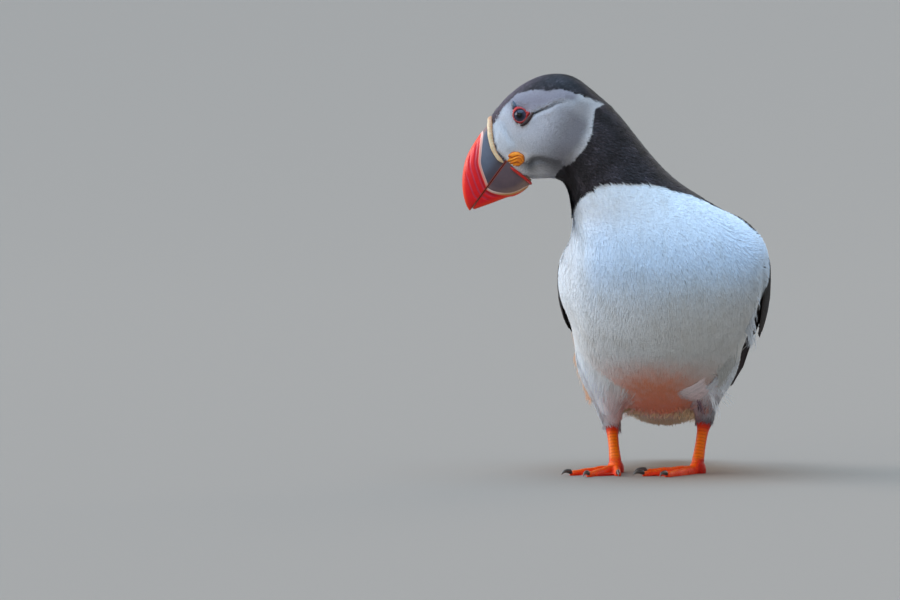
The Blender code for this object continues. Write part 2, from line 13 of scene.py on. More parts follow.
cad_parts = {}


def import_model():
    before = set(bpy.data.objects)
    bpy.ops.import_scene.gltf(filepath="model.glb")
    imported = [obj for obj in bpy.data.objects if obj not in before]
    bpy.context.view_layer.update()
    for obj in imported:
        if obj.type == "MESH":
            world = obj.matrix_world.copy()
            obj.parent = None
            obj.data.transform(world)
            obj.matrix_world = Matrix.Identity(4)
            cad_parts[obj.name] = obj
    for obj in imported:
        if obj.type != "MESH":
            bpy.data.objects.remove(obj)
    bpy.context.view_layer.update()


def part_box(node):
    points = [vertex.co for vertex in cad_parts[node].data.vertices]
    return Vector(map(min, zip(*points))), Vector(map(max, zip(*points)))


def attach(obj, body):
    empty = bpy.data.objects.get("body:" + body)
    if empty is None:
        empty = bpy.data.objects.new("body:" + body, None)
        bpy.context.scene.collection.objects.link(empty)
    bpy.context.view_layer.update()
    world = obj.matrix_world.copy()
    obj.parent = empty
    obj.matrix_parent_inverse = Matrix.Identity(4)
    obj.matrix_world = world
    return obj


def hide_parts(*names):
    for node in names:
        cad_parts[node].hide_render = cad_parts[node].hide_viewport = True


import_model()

MM = 0.001  # one millimetre in metres
random = np.random.default_rng(11)

# ---------------------------------------------------------------- the bird's own measures

# Trunk sections, tail end first: middle x, belly (y, z), back (y, z), half width, lean.
TRUNK = [
    (0, (66, 27), (77, 42), 11, 0),
    (0, (55, 24), (73, 57), 20, 0),
    (0, (39, 24), (66, 77), 29, 0),
    (0, (18, 30), (57, 97), 38, 0),
    (0, (-6, 38), (45, 114), 45, 0),
    (2, (-30, 50), (32, 128), 49.7, 0),
    (4.5, (-49, 68), (19, 136), 52.3, 0),
    (6.0, (-59, 89), (8, 137.5), 48.8, 0),
    (3, (-61, 110), (1, 138.5), 42.6, 0),
    (-5, (-58, 124.5), (-3, 141.5), 34.5, 7),
]
# Neck sections: middle, lean, pitch, twist, front and side radius.
NECK = [((-15.5, -29, 143.5), 22, 8, 36, 26.3, 25.8), ((-23.5, -29.5, 156), 44, 0, 66, 22.8, 21.5)]
HEAD_MIDDLE, HEAD_LEAN, HEAD_TWIST = np.array((-47.3, -30, 175.5)), 53.1, 82
# Head sections from throat to crown: height, back, front, half width, taper to the face, fullness.
HEAD = [
    (-19, -24.9, 18.8, 20.3, 0.05, 2.0),
    (-14, -25.4, 21.5, 20.3, 0.12, 2.1),
    (-8, -25.8, 26.5, 20.3, 0.25, 2.4),
    (-2, -26.0, 29.5, 20.0, 0.38, 2.7),
    (4.5, -26.0, 30.0, 19.0, 0.40, 2.8),
    (10, -24.8, 29.0, 17.6, 0.38, 2.8),
    (16, -21.2, 26.0, 15.6, 0.34, 2.7),
    (21.5, -15.5, 22.8, 12.8, 0.28, 2.5),
    (25.8, -7.5, 19.7, 9.2, 0.15, 2.2),
    (28.0, 0.5, 16.4, 5.2, 0.05, 2.0),
    (28.7, 5.0, 12.0, 2.0, 0.0, 2.0),
]
NECK_ROW, HEAD_ROW, CROWN_ROW = 10, 12, 22

# Bill in the head's frame, (forward, up): ridge, gape line and keel, and its half widths.
CULMEN = [(14.5, 27.2), (24.0, 27.6), (32.2, 27.1), (38.8, 25.9), (44.5, 23.5), (49.6, 20.3),
          (54.1, 16.3), (57.6, 11.8), (59.0, 8.7)]
KEEL = [(28.0, -6.6), (32.0, -7.3), (36.1, -6.3), (39.6, -4.6), (42.8, -1.9), (50.0, 2.6), (57.0, 7.2)]
GAPE_UP, UPPER_GAPE, LOWER_GAPE = 8.3, (28.0, 58.7), (28.0, 57.2)
BILL_HALF_WIDTH = [8.4, 8.0, 7.2, 6.1, 4.9, 3.6, 2.3, 1.0]
BILL_BULGE = 2.4
BILL_TOP, BILL_START = 28.0, 30.0  # where the ridge and the gape meet the feathers
# Edges of the slate base of each mandible, where the pale band and then the red begin.
UPPER_SLATE = [(22.5, 29.5), (24.7, 26.2), (32.7, 21.0), (37.8, 17.2), (43.7, 8.3)]
LOWER_SLATE = [(44.9, 8.3), (44.2, 4.4), (41.5, -0.7), (37.7, -4.3), (31.0, -7.5)]

CERE_RADIUS, CERE_BOW = 1.3, 15.0  # the bead at the bill's base, and how far it bows forward
EYE_PLACE, EYE_RADIUS, EYE_SINK = (6.5, 16.1), 4.3, 2.5
ROSETTE_PLACE, ROSETTE_RADII, ROSETTE_WAY = (25.2, 5.4), (4.9, 3.6), (0.6, 0.8)

WING_SPAN, WING_ANGLE, WING_ANGLE_REAR, WING_HALF_BAND = (2.4, 7.1), 26, 24, 34
WING_DEPTH, WING_EDGE = {1: 6.2, -1: 3.8}, 0.6
PRIMARIES = [
    ((41.5, 36, 84), 12.0, 1.6),
    ((39.5, 48, 74), 10.5, 1.7),
    ((35.5, 61, 62), 8.0, 1.5),
    ((30.0, 74, 51), 5.0, 1.1),
    ((26.0, 85, 42), 1.8, 0.6),
]
TAIL = [(66, 38.0, 10.0, 6.0), (76, 35.3, 13.5, 5.2), (86, 32.3, 16.0, 3.2), (95, 29.5, 14.5, 1.6),
        (100, 28.0, 8.5, 0.8)]

LEGS = {
    1: {
        "thigh": [(25.0, 6, 74, 12, 16), (29.5, 8, 60, 13, 17), (27.5, 12, 47, 10.6, 14),
                  (24.8, 16, 38, 7.4, 9.5), (23.6, 19, 31, 5.4, 6.4), (23.2, 20.5, 26, 4.4, 5.0)],
        "ankle": (23.2, 21, 27.5),
        "heel": (20.5, 11, 5.0),
        "toe_out": -44,
    },
    -1: {
        "thigh": [(-25.0, 6, 74, 12, 16), (-29.3, 8, 60, 12.8, 17), (-28.0, 12, 47, 10.8, 14),
                  (-26.2, 16, 37, 8.0, 9.8), (-25.0, 19, 29, 5.7, 6.6), (-24.6, 20.5, 24, 4.5, 5.1)],
        "ankle": (-24.6, 21, 25.5),
        "heel": (-21.3, 11, 5.0),
        "toe_out": 16,
    },
}
# The bare shank: how far down, half width and half depth; it swells at the ankle and spreads into the foot.
SHANK = [(0.0, 3.8, 4.2), (0.10, 4.25, 4.4), (0.22, 3.9, 4.0), (0.34, 2.95, 3.4), (0.6, 2.7, 3.1),
         (0.82, 2.9, 3.2), (0.94, 3.1, 3.3), (1.0, 2.9, 3.1)]
TOES = {"inner": (25, 27.0), "middle": (0, 36.0), "outer": (-21, 33.0)}
TOE_WIDTH, TOE_HEIGHT, TOE_SUNK = 2.3, 4.4, 0.7
WEB_THICK, WEB_REACH, WEB_SCALLOP = 1.3, 0.9, 0.16
HEEL_RADII, FOOT_VOXEL = (4.3, 4.6, 5.6), 0.34
CLAW_LENGTH, CLAW_RADIUS, CLAW_ROOT = 6.5, 1.5, 0.4  # and how far its root lies inside the toe
THIGH_END = {1: 0.94, -1: 1.0}  # how far down the thigh feathers grow

# The wing's loose lower edge: how far it stands off the flank, and from where along the wing.
LOOSE, LOOSE_FROM = {1: 4.4, -1: 1.2}, {1: 0.24, -1: 0.2}
FLANK_TO = {1: 112, -1: 109}  # how far down the flank's white feathers cover the wing's front edge
FLIGHT_OUT = {1: 3.5, -1: 0.0}  # how far the ends of the long feathers turn out past the flank
WING_SINK = {1: 1.0, -1: 2.4}  # how far the skin lies below the folded wing's face
WORDS = {1: "left", -1: "right"}
BODY_DEPTH, FACE_DEPTH = 1.3, 0.65  # how far the skin lies inside the coat


# ---------------------------------------------------------------- curves and surfaces


def spline(rows, t):
    """The Catmull-Rom curve through the rows, at t counted in rows."""
    rows = np.asarray(rows, float)
    last = len(rows) - 1
    t = np.clip(np.atleast_1d(np.asarray(t, float)), 0, last)
    i = np.minimum(t.astype(int), last - 1)
    s = (t - i)[:, None]
    before, here = rows[np.maximum(i - 1, 0)], rows[i]
    after, beyond = rows[i + 1], rows[np.minimum(i + 2, last)]
    return 0.5 * (2 * here + (after - before) * s + (2 * before - 5 * here + 4 * after - beyond) * s**2
                  + (3 * here - before - 3 * after + beyond) * s**3)


def unit(v):
    v = np.asarray(v, float)
    return v / np.maximum(np.linalg.norm(v, axis=-1, keepdims=True), 1e-9)


def dot(a, b):
    return (a * b).sum(-1)


def ease(low, high, x):
    """0 below low, 1 above high, smooth between."""
    s = np.clip((x - low) / (np.asarray(high) - low), 0, 1)
    return s * s * (3 - 2 * s)


def bell(x, middle, width):
    """1 at the middle, falling off to both sides."""
    return np.exp(-(((x - middle) / width) ** 2))


def section_frame(lean, pitch, twist):
    """(front, left) directions of a section."""
    side = np.array([cos(radians(lean)), 0, sin(radians(lean))])
    front = np.array([0, -cos(radians(pitch)), -sin(radians(pitch))])
    t = radians(twist)
    forward = unit(front * cos(t) - side * sin(t))
    left = side * cos(t) + front * sin(t)
    return forward, unit(left - forward * (left @ forward))


HEAD_FORWARD, HEAD_LEFT = section_frame(HEAD_LEAN, 0, HEAD_TWIST)
HEAD_UP = np.cross(HEAD_FORWARD, HEAD_LEFT)


def head_point(forward, up, left):
    """A point of the head's frame in the bird's frame."""
    forward, up, left = (np.asarray(a, float)[..., None] for a in (forward, up, left))
    return HEAD_MIDDLE + forward * HEAD_FORWARD + up * HEAD_UP + left * HEAD_LEFT


def in_head_frame(points):
    """(forward, up, left) of points."""
    away = points - HEAD_MIDDLE
    return away @ HEAD_FORWARD, away @ HEAD_UP, away @ HEAD_LEFT


def side_view(points):
    """(forward, up) of points, the head seen from its side."""
    return np.stack(in_head_frame(points)[:2], -1)


def body_rows():
    """Every section from the tail to the crown: middle, front radius, side radius, taper and fullness."""
    rows = []
    for x, belly, back, half, lean in TRUNK:
        belly, back = np.array((x, *belly), float), np.array((x, *back), float)
        pitch = np.degrees(np.arctan2(back[2] - belly[2], back[1] - belly[1]))
        forward, left = section_frame(lean, pitch, 0)
        radius = np.linalg.norm(back - belly) / 2
        rows.append((*((belly + back) / 2), *(forward * radius), *(left * half), 0.0, 2.1))
    for middle, lean, pitch, twist, front, side in NECK:
        forward, left = section_frame(lean, pitch, twist)
        rows.append((*middle, *(forward * front), *(left * side), 0.0, 2.0))
    for up, back, front, half, taper, fullness in HEAD:
        middle = head_point((front + back) / 2, up, 0)
        rows.append((*middle, *(HEAD_FORWARD * (front - back) / 2), *(HEAD_LEFT * half), taper, fullness))
    return np.array(rows)


BODY = body_rows()


def ring_curve(angle, fullness):
    """Cosine and sine of the angle, filled out towards a box by the fullness."""
    return [(np.sign(wave) * np.abs(wave) ** (2 / fullness))[..., None] for wave in (np.cos(angle), np.sin(angle))]


def bill_ring(turn):
    """Rise to the ridge (0..1) and place across (-1..1) round the bill's section."""
    wave = np.cos(turn)
    return np.maximum(np.sin(turn), 0) ** 0.9, np.sign(wave) * np.abs(wave) ** 0.75


def bill_edge(rise, start=BILL_START):
    """How far forward the feathers end, from the gape (0) to the ridge (1)."""
    return start - 13.8 * rise + CERE_BOW * rise * (1 - rise)


def body_surface(t, angle, out=0.0):
    """The body at section t and an angle: 0 is its left side, 90 degrees the back, 270 the front."""
    row = spline(BODY, t)
    out = np.broadcast_to(np.asarray(out, float), np.shape(t))[..., None]
    along, across = row[:, 3:6], row[:, 6:9]
    along = along + unit(along) * out
    across = across + unit(across) * out
    c, s = ring_curve(np.asarray(angle, float), row[:, 10])
    return row[:, 0:3] + across * c * (1 + row[:, 9:10] * s) - along * s


def wing_place(side, share, across):
    """Section, angle and height over the body for a place on the wing, from its bend (0) to its end (1)."""
    share, across = np.clip(share, 0, 1), np.clip(across, -1, 1)
    t = WING_SPAN[1] + (WING_SPAN[0] - WING_SPAN[1]) * share
    middle = WING_ANGLE + (WING_ANGLE_REAR - WING_ANGLE) * share
    bend = np.sqrt(1 - (1 - np.minimum(1, share / 0.28 + 0.05)) ** 2)
    half = WING_HALF_BAND * bend * (1 - 0.18 * share)
    swell = (1 - across**2 + 1e-6) ** 0.6 * np.sin(pi * (0.02 + 0.93 * share**1.7)) ** 1.1
    angle = np.radians(middle + across * half)
    return t, angle if side > 0 else pi - angle, WING_EDGE + WING_DEPTH[side] * swell


def wing_surface(side):
    """The folded wing's outer face: bend to end (0..1), lower to upper edge (-1..1)."""

    def surface(share, across, out=0.0):
        t, angle, rise = wing_place(side, share, across)
        return body_surface(t, angle, rise + out)

    return surface


def thigh_surface(side):
    """The feathered thigh from the body (0) to the ankle (1), round by an angle as the body's."""
    rows = np.array(LEGS[side]["thigh"], float)
    fall = (rows[-1] - rows[-2])[:3] * (len(rows) - 1)

    def surface(share, angle, out=0.0):
        share = np.asarray(share, float)
        row = spline(rows, share * (len(rows) - 1))
        out = np.broadcast_to(np.asarray(out, float), np.shape(share))
        middle = row[:, :3] + fall * np.maximum(share - 1, 0)[:, None]
        x, y = (row[:, 3] + out) * np.cos(angle), (row[:, 4] + out) * np.sin(angle)
        return middle + np.stack([x, y, np.zeros_like(angle)], -1)

    return surface


def flight_surface(side, face):
    """The stack of long flight feathers past the wing, on its outer (1) or inner (-1) face."""
    table = np.array([(side * x, y, z, height, thick) for (x, y, z), height, thick in PRIMARIES])

    def surface(share, across, out=0.0):
        place = np.clip(share, 0, 1) * (len(table) - 1)
        row = spline(table, place)
        ahead = unit(spline(table, place + 0.15)[:, :3] - spline(table, place - 0.15)[:, :3])
        outward = unit(np.array([side, 0.35, 0.35]))
        tall = unit(np.cross(ahead, outward))
        tall = tall * np.sign(tall[:, 2:3])
        thick = unit(np.cross(ahead, tall))
        thick = thick * np.sign(dot(thick, outward))[:, None]
        curve = np.sqrt(1 - np.clip(across, -1, 1) ** 2 + 1e-6)
        row[:, 0] += FLIGHT_OUT[side] * np.clip(share, 0, 1)
        high, deep = row[:, 3] * across, face * (row[:, 4] * curve + out)
        return row[:, :3] + tall * high[:, None] + thick * deep[:, None]

    return surface


def tail_surface(face):
    """The tail fan's upper (1) or lower (-1) face, from its base (0) to its tips (1), across -1..1."""

    def surface(share, across, out=0.0):
        row = spline(TAIL, np.clip(share, 0, 1) * (len(TAIL) - 1))
        curve = np.sqrt(1 - np.clip(across, -1, 1) ** 2 + 1e-6)
        rise = face * (row[:, 3] * curve + out)
        return np.stack([row[:, 2] * across, row[:, 0] + 0.2 * rise, row[:, 1] + 0.98 * rise], -1)

    return surface


def cheek_width(forward, up):
    """Half width of the head at a point of its side view."""
    rows = np.array([(r[0], (r[1] + r[2]) / 2, (r[2] - r[1]) / 2, r[3], r[4], r[5]) for r in HEAD])
    forward, up = np.broadcast_arrays(np.asarray(forward, float), np.asarray(up, float))
    at = np.interp(up.ravel(), rows[:, 0], np.arange(len(rows)))
    row = spline(rows, at)
    s = np.clip((forward.ravel() - row[:, 1]) / row[:, 2], -0.999, 0.999)
    c = (1 - np.abs(s) ** row[:, 5]) ** (1 / row[:, 5])
    return (row[:, 3] * c * (1 - row[:, 4] * s)).reshape(up.shape)


def on_cheek(side, forward, up, out=0.0):
    """Points on the cheek, and the outward directions there."""
    forward, up = np.asarray(forward, float), np.asarray(up, float)
    step = 0.5
    slope_f = (cheek_width(forward + step, up) - cheek_width(forward - step, up)) / (2 * step)
    slope_u = (cheek_width(forward, up + step) - cheek_width(forward, up - step)) / (2 * step)
    local = unit(np.stack([-slope_f, -slope_u, np.ones_like(slope_f)], -1))
    normal = local[..., :1] * HEAD_FORWARD + local[..., 1:2] * HEAD_UP + local[..., 2:] * HEAD_LEFT * side
    out = np.asarray(out, float)[..., None]
    return head_point(forward, up, side * cheek_width(forward, up)) + normal * out, normal


def eye_axis(side):
    """The middle of the lids on the cheek, and the way the eye looks."""
    middle, outward = on_cheek(side, *EYE_PLACE)
    return middle, unit(outward + HEAD_LEFT * side)


# ---------------------------------------------------------------- the frame and the camera

ball_low, ball_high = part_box("eye_left")
eye_middle, eye_outward = eye_axis(1)
SHIFT = np.array((ball_low + ball_high) / 2) / MM - (eye_middle - eye_outward * EYE_SINK)
SHIFT[2] = 0.0  # the floor is at zero in both
TO_FRAME = Matrix.Scale(MM, 4) @ Matrix.Translation(Vector(SHIFT))

VIEW_TURN, VIEW_RISE, VIEW_AWAY = radians(8), radians(2.5), 3.03
VIEW_LENS, VIEW_SENSOR = 240, 36
VIEW_CENTRE = (-103.5, 88.0)  # middle of the view, to the right and up from the bird's own origin


def make_camera():
    """A long lens a little to the bird's left of straight ahead, just above its middle."""
    right = np.array([cos(VIEW_TURN), sin(VIEW_TURN), 0])
    ahead = np.array([-sin(VIEW_TURN) * cos(VIEW_RISE), cos(VIEW_TURN) * cos(VIEW_RISE), -sin(VIEW_RISE)])
    up = np.cross(right, ahead)
    aim = (right * VIEW_CENTRE[0] + up * VIEW_CENTRE[1] + SHIFT) * MM
    lens = bpy.data.cameras.new("camera")
    lens.lens, lens.sensor_width = VIEW_LENS, VIEW_SENSOR
    lens.clip_start, lens.clip_end = 0.05, 50
    camera = bpy.data.objects.new("camera", lens)
    camera.location = aim - ahead * VIEW_AWAY
    camera.rotation_mode = "QUATERNION"
    camera.rotation_quaternion = Vector(ahead).to_track_quat("-Z", "Y")
    bpy.context.scene.collection.objects.link(camera)
    bpy.context.scene.camera = camera


make_camera()


# ---------------------------------------------------------------- paint


def shade(red, green, blue):
    """A colour from 0..255 display values."""
    return tuple(((c / 255 + 0.055) / 1.055) ** 2.4 if c > 10 else c / 3295 for c in (red, green, blue))


class Value:
    """A node's output; sums on it add Math nodes."""

    def __init__(self, paint, socket):
        self.paint, self.socket = paint, socket

    def maths(self, operation, *values):
        return self.paint.node("Math", {"operation": operation}, *values)

    def __add__(self, other):
        return self.maths("ADD", self, other)

    def __mul__(self, other):
        return self.maths("MULTIPLY", self, other)

    def __sub__(self, other):
        return self.maths("SUBTRACT", self, other)

    def __rsub__(self, other):
        return self.maths("SUBTRACT", other, self)

    __radd__, __rmul__ = __add__, __mul__

    def between(self, low, high, soft):
        """1 where the value lies between two limits, with soft edges."""
        return self.step(low, soft) * (1 - self.step(high, soft))

    def step(self, limit, soft):
        """0 below the limit and 1 above it."""
        settings = {"interpolation_type": "SMOOTHSTEP"}
        return self.paint.node("MapRange", settings, self, limit - soft, limit + soft)


class Paint:
    """A material: its Principled shader and the nodes that feed it."""

    def __init__(self, name, **constants):
        self.material = bpy.data.materials.new(name)
        self.material.use_nodes = True
        self.tree = self.material.node_tree
        self.shader = self.tree.nodes["Principled BSDF"]
        self.set(**constants)

    def set(self, **values):
        """Sets or links the shader's sockets, named in small letters."""
        for word, value in values.items():
            socket = self.shader.inputs[word.replace("_", " ").title().replace("Ior", "IOR")]
            self.feed(socket, value)
        return self

    def feed(self, socket, value):
        if isinstance(value, Value):
            self.tree.links.new(value.socket, socket)
        elif value is not None:
            if isinstance(value, tuple) and len(value) == 3 and socket.type == "RGBA":
                value = (*value, 1)
            socket.default_value = value

    def node(self, kind, settings, *values, out=0):
        """One node by its type, its settings and then the values or links of its sockets in order."""
        made = self.tree.nodes.new("ShaderNode" + kind)
        for word, setting in settings.items():
            setattr(made, word, setting)
        for socket, value in zip([s for s in made.inputs if s.enabled], values):
            self.feed(socket, value)
        return Value(self, [s for s in made.outputs if s.enabled][out])

    def mix(self, share, first, second, blend="MIX"):
        """A colour between two colours."""
        return self.node("Mix", {"data_type": "RGBA", "blend_type": blend}, share, first, second)

    def place(self, scale=(1, 1, 1), turn=(0, 0, 0)):
        """Object coordinates, stretched and turned."""
        own = self.node("TexCoord", {}, out=3)
        return self.node("Mapping", {"vector_type": "POINT"}, own, (0, 0, 0), turn, scale)

    def noise(self, vector, scale, detail, rough=0.5, distortion=0.0):
        return self.node("TexNoise", {}, vector, scale, detail, rough, 2.0, distortion)

    def colour(self, name):
        """A colour kept on the mesh."""
        return self.node("Attribute", {"attribute_name": name})

    def number(self, name):
        """A number kept on the mesh."""
        return self.node("Attribute", {"attribute_name": name}, out=2)

    def bump(self, height, distance, strength):
        self.set(normal=self.node("Bump", {}, strength, distance, 0.1, height))
        return self


# ---------------------------------------------------------------- making pieces

WELD = 1e-3  # points nearer than this become one
FUSE_ROUNDS = 6  # rounds of smoothing after forms are made into one


def sheet(surface, along, across):
    """A closed form: a grid laid on surface(u, v), both 0..1, joined round v, with a lid on each open end."""
    form = bmesh.new()
    bmesh.ops.create_grid(form, x_segments=along, y_segments=across, size=0.5)
    places = np.array([v.co[:2] for v in form.verts]) + 0.5
    for v, point in zip(form.verts, surface(places[:, 0], places[:, 1])):
        v.co = point
    bmesh.ops.remove_doubles(form, verts=form.verts, dist=WELD)
    bmesh.ops.holes_fill(form, edges=[e for e in form.edges if e.is_boundary])
    return turned_out(form)


def turned_out(form):
    """Faces of a closed form point outwards."""
    bmesh.ops.recalc_face_normals(form, faces=form.faces)
    if form.calc_volume(signed=True) < 0:
        bmesh.ops.reverse_faces(form, faces=form.faces)
    return form


def plain_object(name, form):
    mesh = bpy.data.meshes.new(name)
    form.to_mesh(mesh)
    form.free()
    obj = bpy.data.objects.new(name, mesh)
    bpy.context.scene.collection.objects.link(obj)
    return obj


def finished(obj, paint, slot, *nodes):
    """Puts a piece in place: metres, its paint, a slot that is not used, and the nodes that it stands for."""
    obj.data.transform(TO_FRAME)
    obj.data.shade_smooth()
    obj.data.materials.append(paint.material)
    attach(obj, "root")
    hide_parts(*nodes)
    return obj


def points_of(mesh, word="co"):
    """Where the mesh's points are, or with "normal" which way they face."""
    flat = np.empty(len(mesh.vertices) * 3, np.float32)
    mesh.vertices.foreach_get(word, flat)
    return flat.reshape(-1, 3).astype(float)


def move_points(mesh, points):
    mesh.vertices.foreach_set("co", points.astype(np.float32).ravel())


def nearest(places, points):
    """Which of the places lies nearest to each point."""
    tree = KDTree(len(places))
    for i, place in enumerate(places):
        tree.insert(place, i)
    tree.balance()
    return np.array([tree.find(point)[1] for point in points])


def put_values(mesh, name, values):
    """One number or one colour for each vertex."""
    values = np.asarray(values, np.float32)
    if values.ndim == 1:
        mesh.attributes.new(name, "FLOAT", "POINT").data.foreach_set("value", values)
    else:
        full = np.concatenate([values, np.ones((len(values), 1), np.float32)], 1)
        mesh.attributes.new(name, "FLOAT_COLOR", "POINT").data.foreach_set("color", full.ravel())


def fused(name, forms, voxel):
    """One closed mesh round all the forms, in steps of the voxel size."""
    whole = bmesh.new()
    for form in forms:
        part = bpy.data.meshes.new("part")
        form.to_mesh(part)
        form.free()
        whole.from_mesh(part)
        bpy.data.meshes.remove(part)
    obj = plain_object(name, whole)
    remesh = obj.modifiers.new("fuse", "REMESH")
    remesh.mode, remesh.voxel_size, remesh.adaptivity = "VOXEL", voxel, 0.0
    smooth = obj.modifiers.new("smooth", "SMOOTH")
    smooth.factor, smooth.iterations = 0.5, FUSE_ROUNDS
    bpy.context.view_layer.update()
    settled = bpy.data.meshes.new_from_object(obj.evaluated_get(bpy.context.evaluated_depsgraph_get()))
    obj.modifiers.clear()
    obj.data = settled
    return obj


# ---------------------------------------------------------------- markings

WHITE, FACE, BLACK = 0, 1, 2
# white with a slight blue cast: painted light of the blue sky above
SKY_TINTED_WHITE = np.array(shade(242, 248, 255))
CREAM = np.array(shade(216, 196, 160))
RUST = np.array(shade(234, 146, 104))
SALMON = np.array(shade(250, 208, 176))
PINK = np.array(shade(214, 166, 156))
OLIVE = np.array(shade(206, 199, 182))
CHEEK = np.array(shade(220, 218, 224))
CHEEK_PALE = np.array(shade(228, 226, 228))
CHEEK_GREY_AND_SHADE = np.array(shade(126, 124, 132))
DARK_GREY_AND_CREASE_SHADE = np.array(shade(70, 71, 76))
INK = np.array(shade(34, 29, 31))
INK_GREY = np.array(shade(64, 58, 64))
BROWN = np.array(shade(52, 38, 32))
ANKLE = np.array(shade(112, 94, 106))

# The cheek patch in the head's side view, (forward, up), from the bill over the eye and round the rear.
PATCH = np.array([(22, 28.0), (18.1, 24.5), (10.2, 26.1), (-0.4, 24.9), (-7.8, 18.0), (-10.8, 12.6),
                  (-15.4, 8.1), (-17.8, 2.1), (-21, -5.9), (-24.8, -12.7), (-17.7, -11.1), (-13, -14),
                  (-6.7, -17), (1.2, -18.6), (9, -18.1), (15.1, -15.7), (19.1, -15), (40, -15), (40, 26)])
EYE_GROOVE = np.array([(3.2, 11.6), (2.0, 10.9), (-0.6, 9.6), (-4.4, 7.0), (-8.7, 5.0), (-12.2, 2.0),
                       (-15.2, -2.6)])
THROAT_CREASE = np.array([(23.2, -1.6), (20.6, -2.0), (18.4, -4.6), (16.9, -8.2), (15.9, -11.2),
                          (13.8, -13.6)])
# Lower edge of the black collar: angle round the body from the front (left side positive) and section.
COLLAR = np.array([(-180, 6.0), (-120, 8.2), (-85, 9.3), (-60, 9.8), (-38, 10.2), (-6, 10.62), (16, 10.86),
                   (32, 10.95), (42, 10.9), (50, 10.8), (64, 10.52), (78, 10.3), (90, 10.05), (96, 9.6),
                   (102, 8.9), (112, 8.4), (130, 7.6), (180, 6.0)])
# How far round from the front the white reaches on each section.
WHITE_REACH = np.array([(0, 112), (1, 104), (2, 95), (3, 90), (4, 90), (5, 92), (6, 96), (7, 99), (8, 103),
                        (9, 108), (11, 120)])
BROW_SHADE = np.array([0.46, 0.50, 0.46])  # how much of each colour the shadow over the groove takes away
BREAST_SHADE = np.array([0.26, 0.17, 0.07])  # the same across the breast


def edge_distance(points, corners):
    """Distance from points to a closed outline, positive inside it."""
    nearest = np.full(len(points), 1e9)
    inside = np.zeros(len(points), bool)
    for a, b in zip(corners, np.roll(corners, -1, 0)):
        along = b - a
        share = np.clip(((points - a) @ along) / (along @ along), 0, 1)
        nearest = np.minimum(nearest, np.linalg.norm(points - a - share[:, None] * along, axis=1))
        crosses = (a[1] > points[:, 1]) != (b[1] > points[:, 1])
        reach = a[0] + (points[:, 1] - a[1]) * along[0] / (along[1] if along[1] else 1e-9)
        inside ^= crosses & (points[:, 0] < reach)
    return np.where(inside, nearest, -nearest)


def line_distance(points, corners):
    """Distance from points to a line of short runs, and how far along it they lie (0..1)."""
    nearest, place = np.full(len(points), 1e9), np.zeros(len(points))
    for i, (a, b) in enumerate(zip(corners, corners[1:])):
        along = b - a
        share = np.clip(((points - a) @ along) / (along @ along), 0, 1)
        away = np.linalg.norm(points - a - share[:, None] * along, axis=1)
        place = np.where(away < nearest, (i + share) / (len(corners) - 1), place)
        nearest = np.minimum(nearest, away)
    return nearest, place


def blend(first, second, share):
    """A colour between two, or one for each share."""
    return first + (second - first) * np.asarray(share)[..., None]


def from_front(angle):
    """Degrees round the body from its front, the left side positive."""
    return (np.degrees(angle) - 270 + 180) % 360 - 180


def soft_noise(points, size, seed=0):
    """A smooth wavy number, about -1..1, of a given size over the body."""
    total = np.zeros(len(points))
    waves = np.random.default_rng(seed)
    for _ in range(9):
        direction = unit(waves.normal(size=3)) / size
        total += np.sin(points @ direction * 2 * pi * waves.uniform(0.6, 1.5) + waves.uniform(0, 2 * pi))
    return total / 3


def face_colours(points, patch):
    """Grey cheek, pale towards the bill and at its rim and darker grey low down, partly painted shade; the groove
    behind the eye with a painted shadow above it; and painted shade along the throat's crease.
    """
    flat = side_view(points)
    forward, up = flat.T
    face = blend(CHEEK_PALE, CHEEK, ease(26, 6, forward))
    # darker grey low on the cheek and back from the bill: partly the cheek's own grey, partly painted shade
    face = blend(face, CHEEK_GREY_AND_SHADE, 0.82 * ease(9, -10, up + 0.15 * forward) * ease(26, 14, forward))
    face = blend(face, CHEEK_PALE, ease(5.2, 0.4, patch) * ease(16, 2, forward) * 0.85)
    face = blend(face, CHEEK_PALE, 0.4 * ease(-7, -13, forward))
    above = up - np.interp(forward, EYE_GROOVE[::-1, 0], EYE_GROOVE[::-1, 1])
    brow = ease(-0.3, 3.6, above) * ease(12, 3, forward) * ease(-22, -16, forward)
    face = face * (1 - brow[:, None] * BROW_SHADE)
    groove, place = line_distance(flat, EYE_GROOVE)
    face = blend(face, DARK_GREY_AND_CREASE_SHADE * 0.4, 0.9 * ease(0.7, 0.1, groove) * ease(1.0, 0.5, place))
    # painted shade along the throat's crease, reaching further towards the chin
    crease, along = line_distance(flat, THROAT_CREASE)
    ahead = forward > np.interp(up, THROAT_CREASE[::-1, 1], THROAT_CREASE[::-1, 0])
    return blend(face, DARK_GREY_AND_CREASE_SHADE, 0.85 * ease(np.where(ahead, 6.5, 3.0), 0.0, crease) * (1 - 0.35 * along))


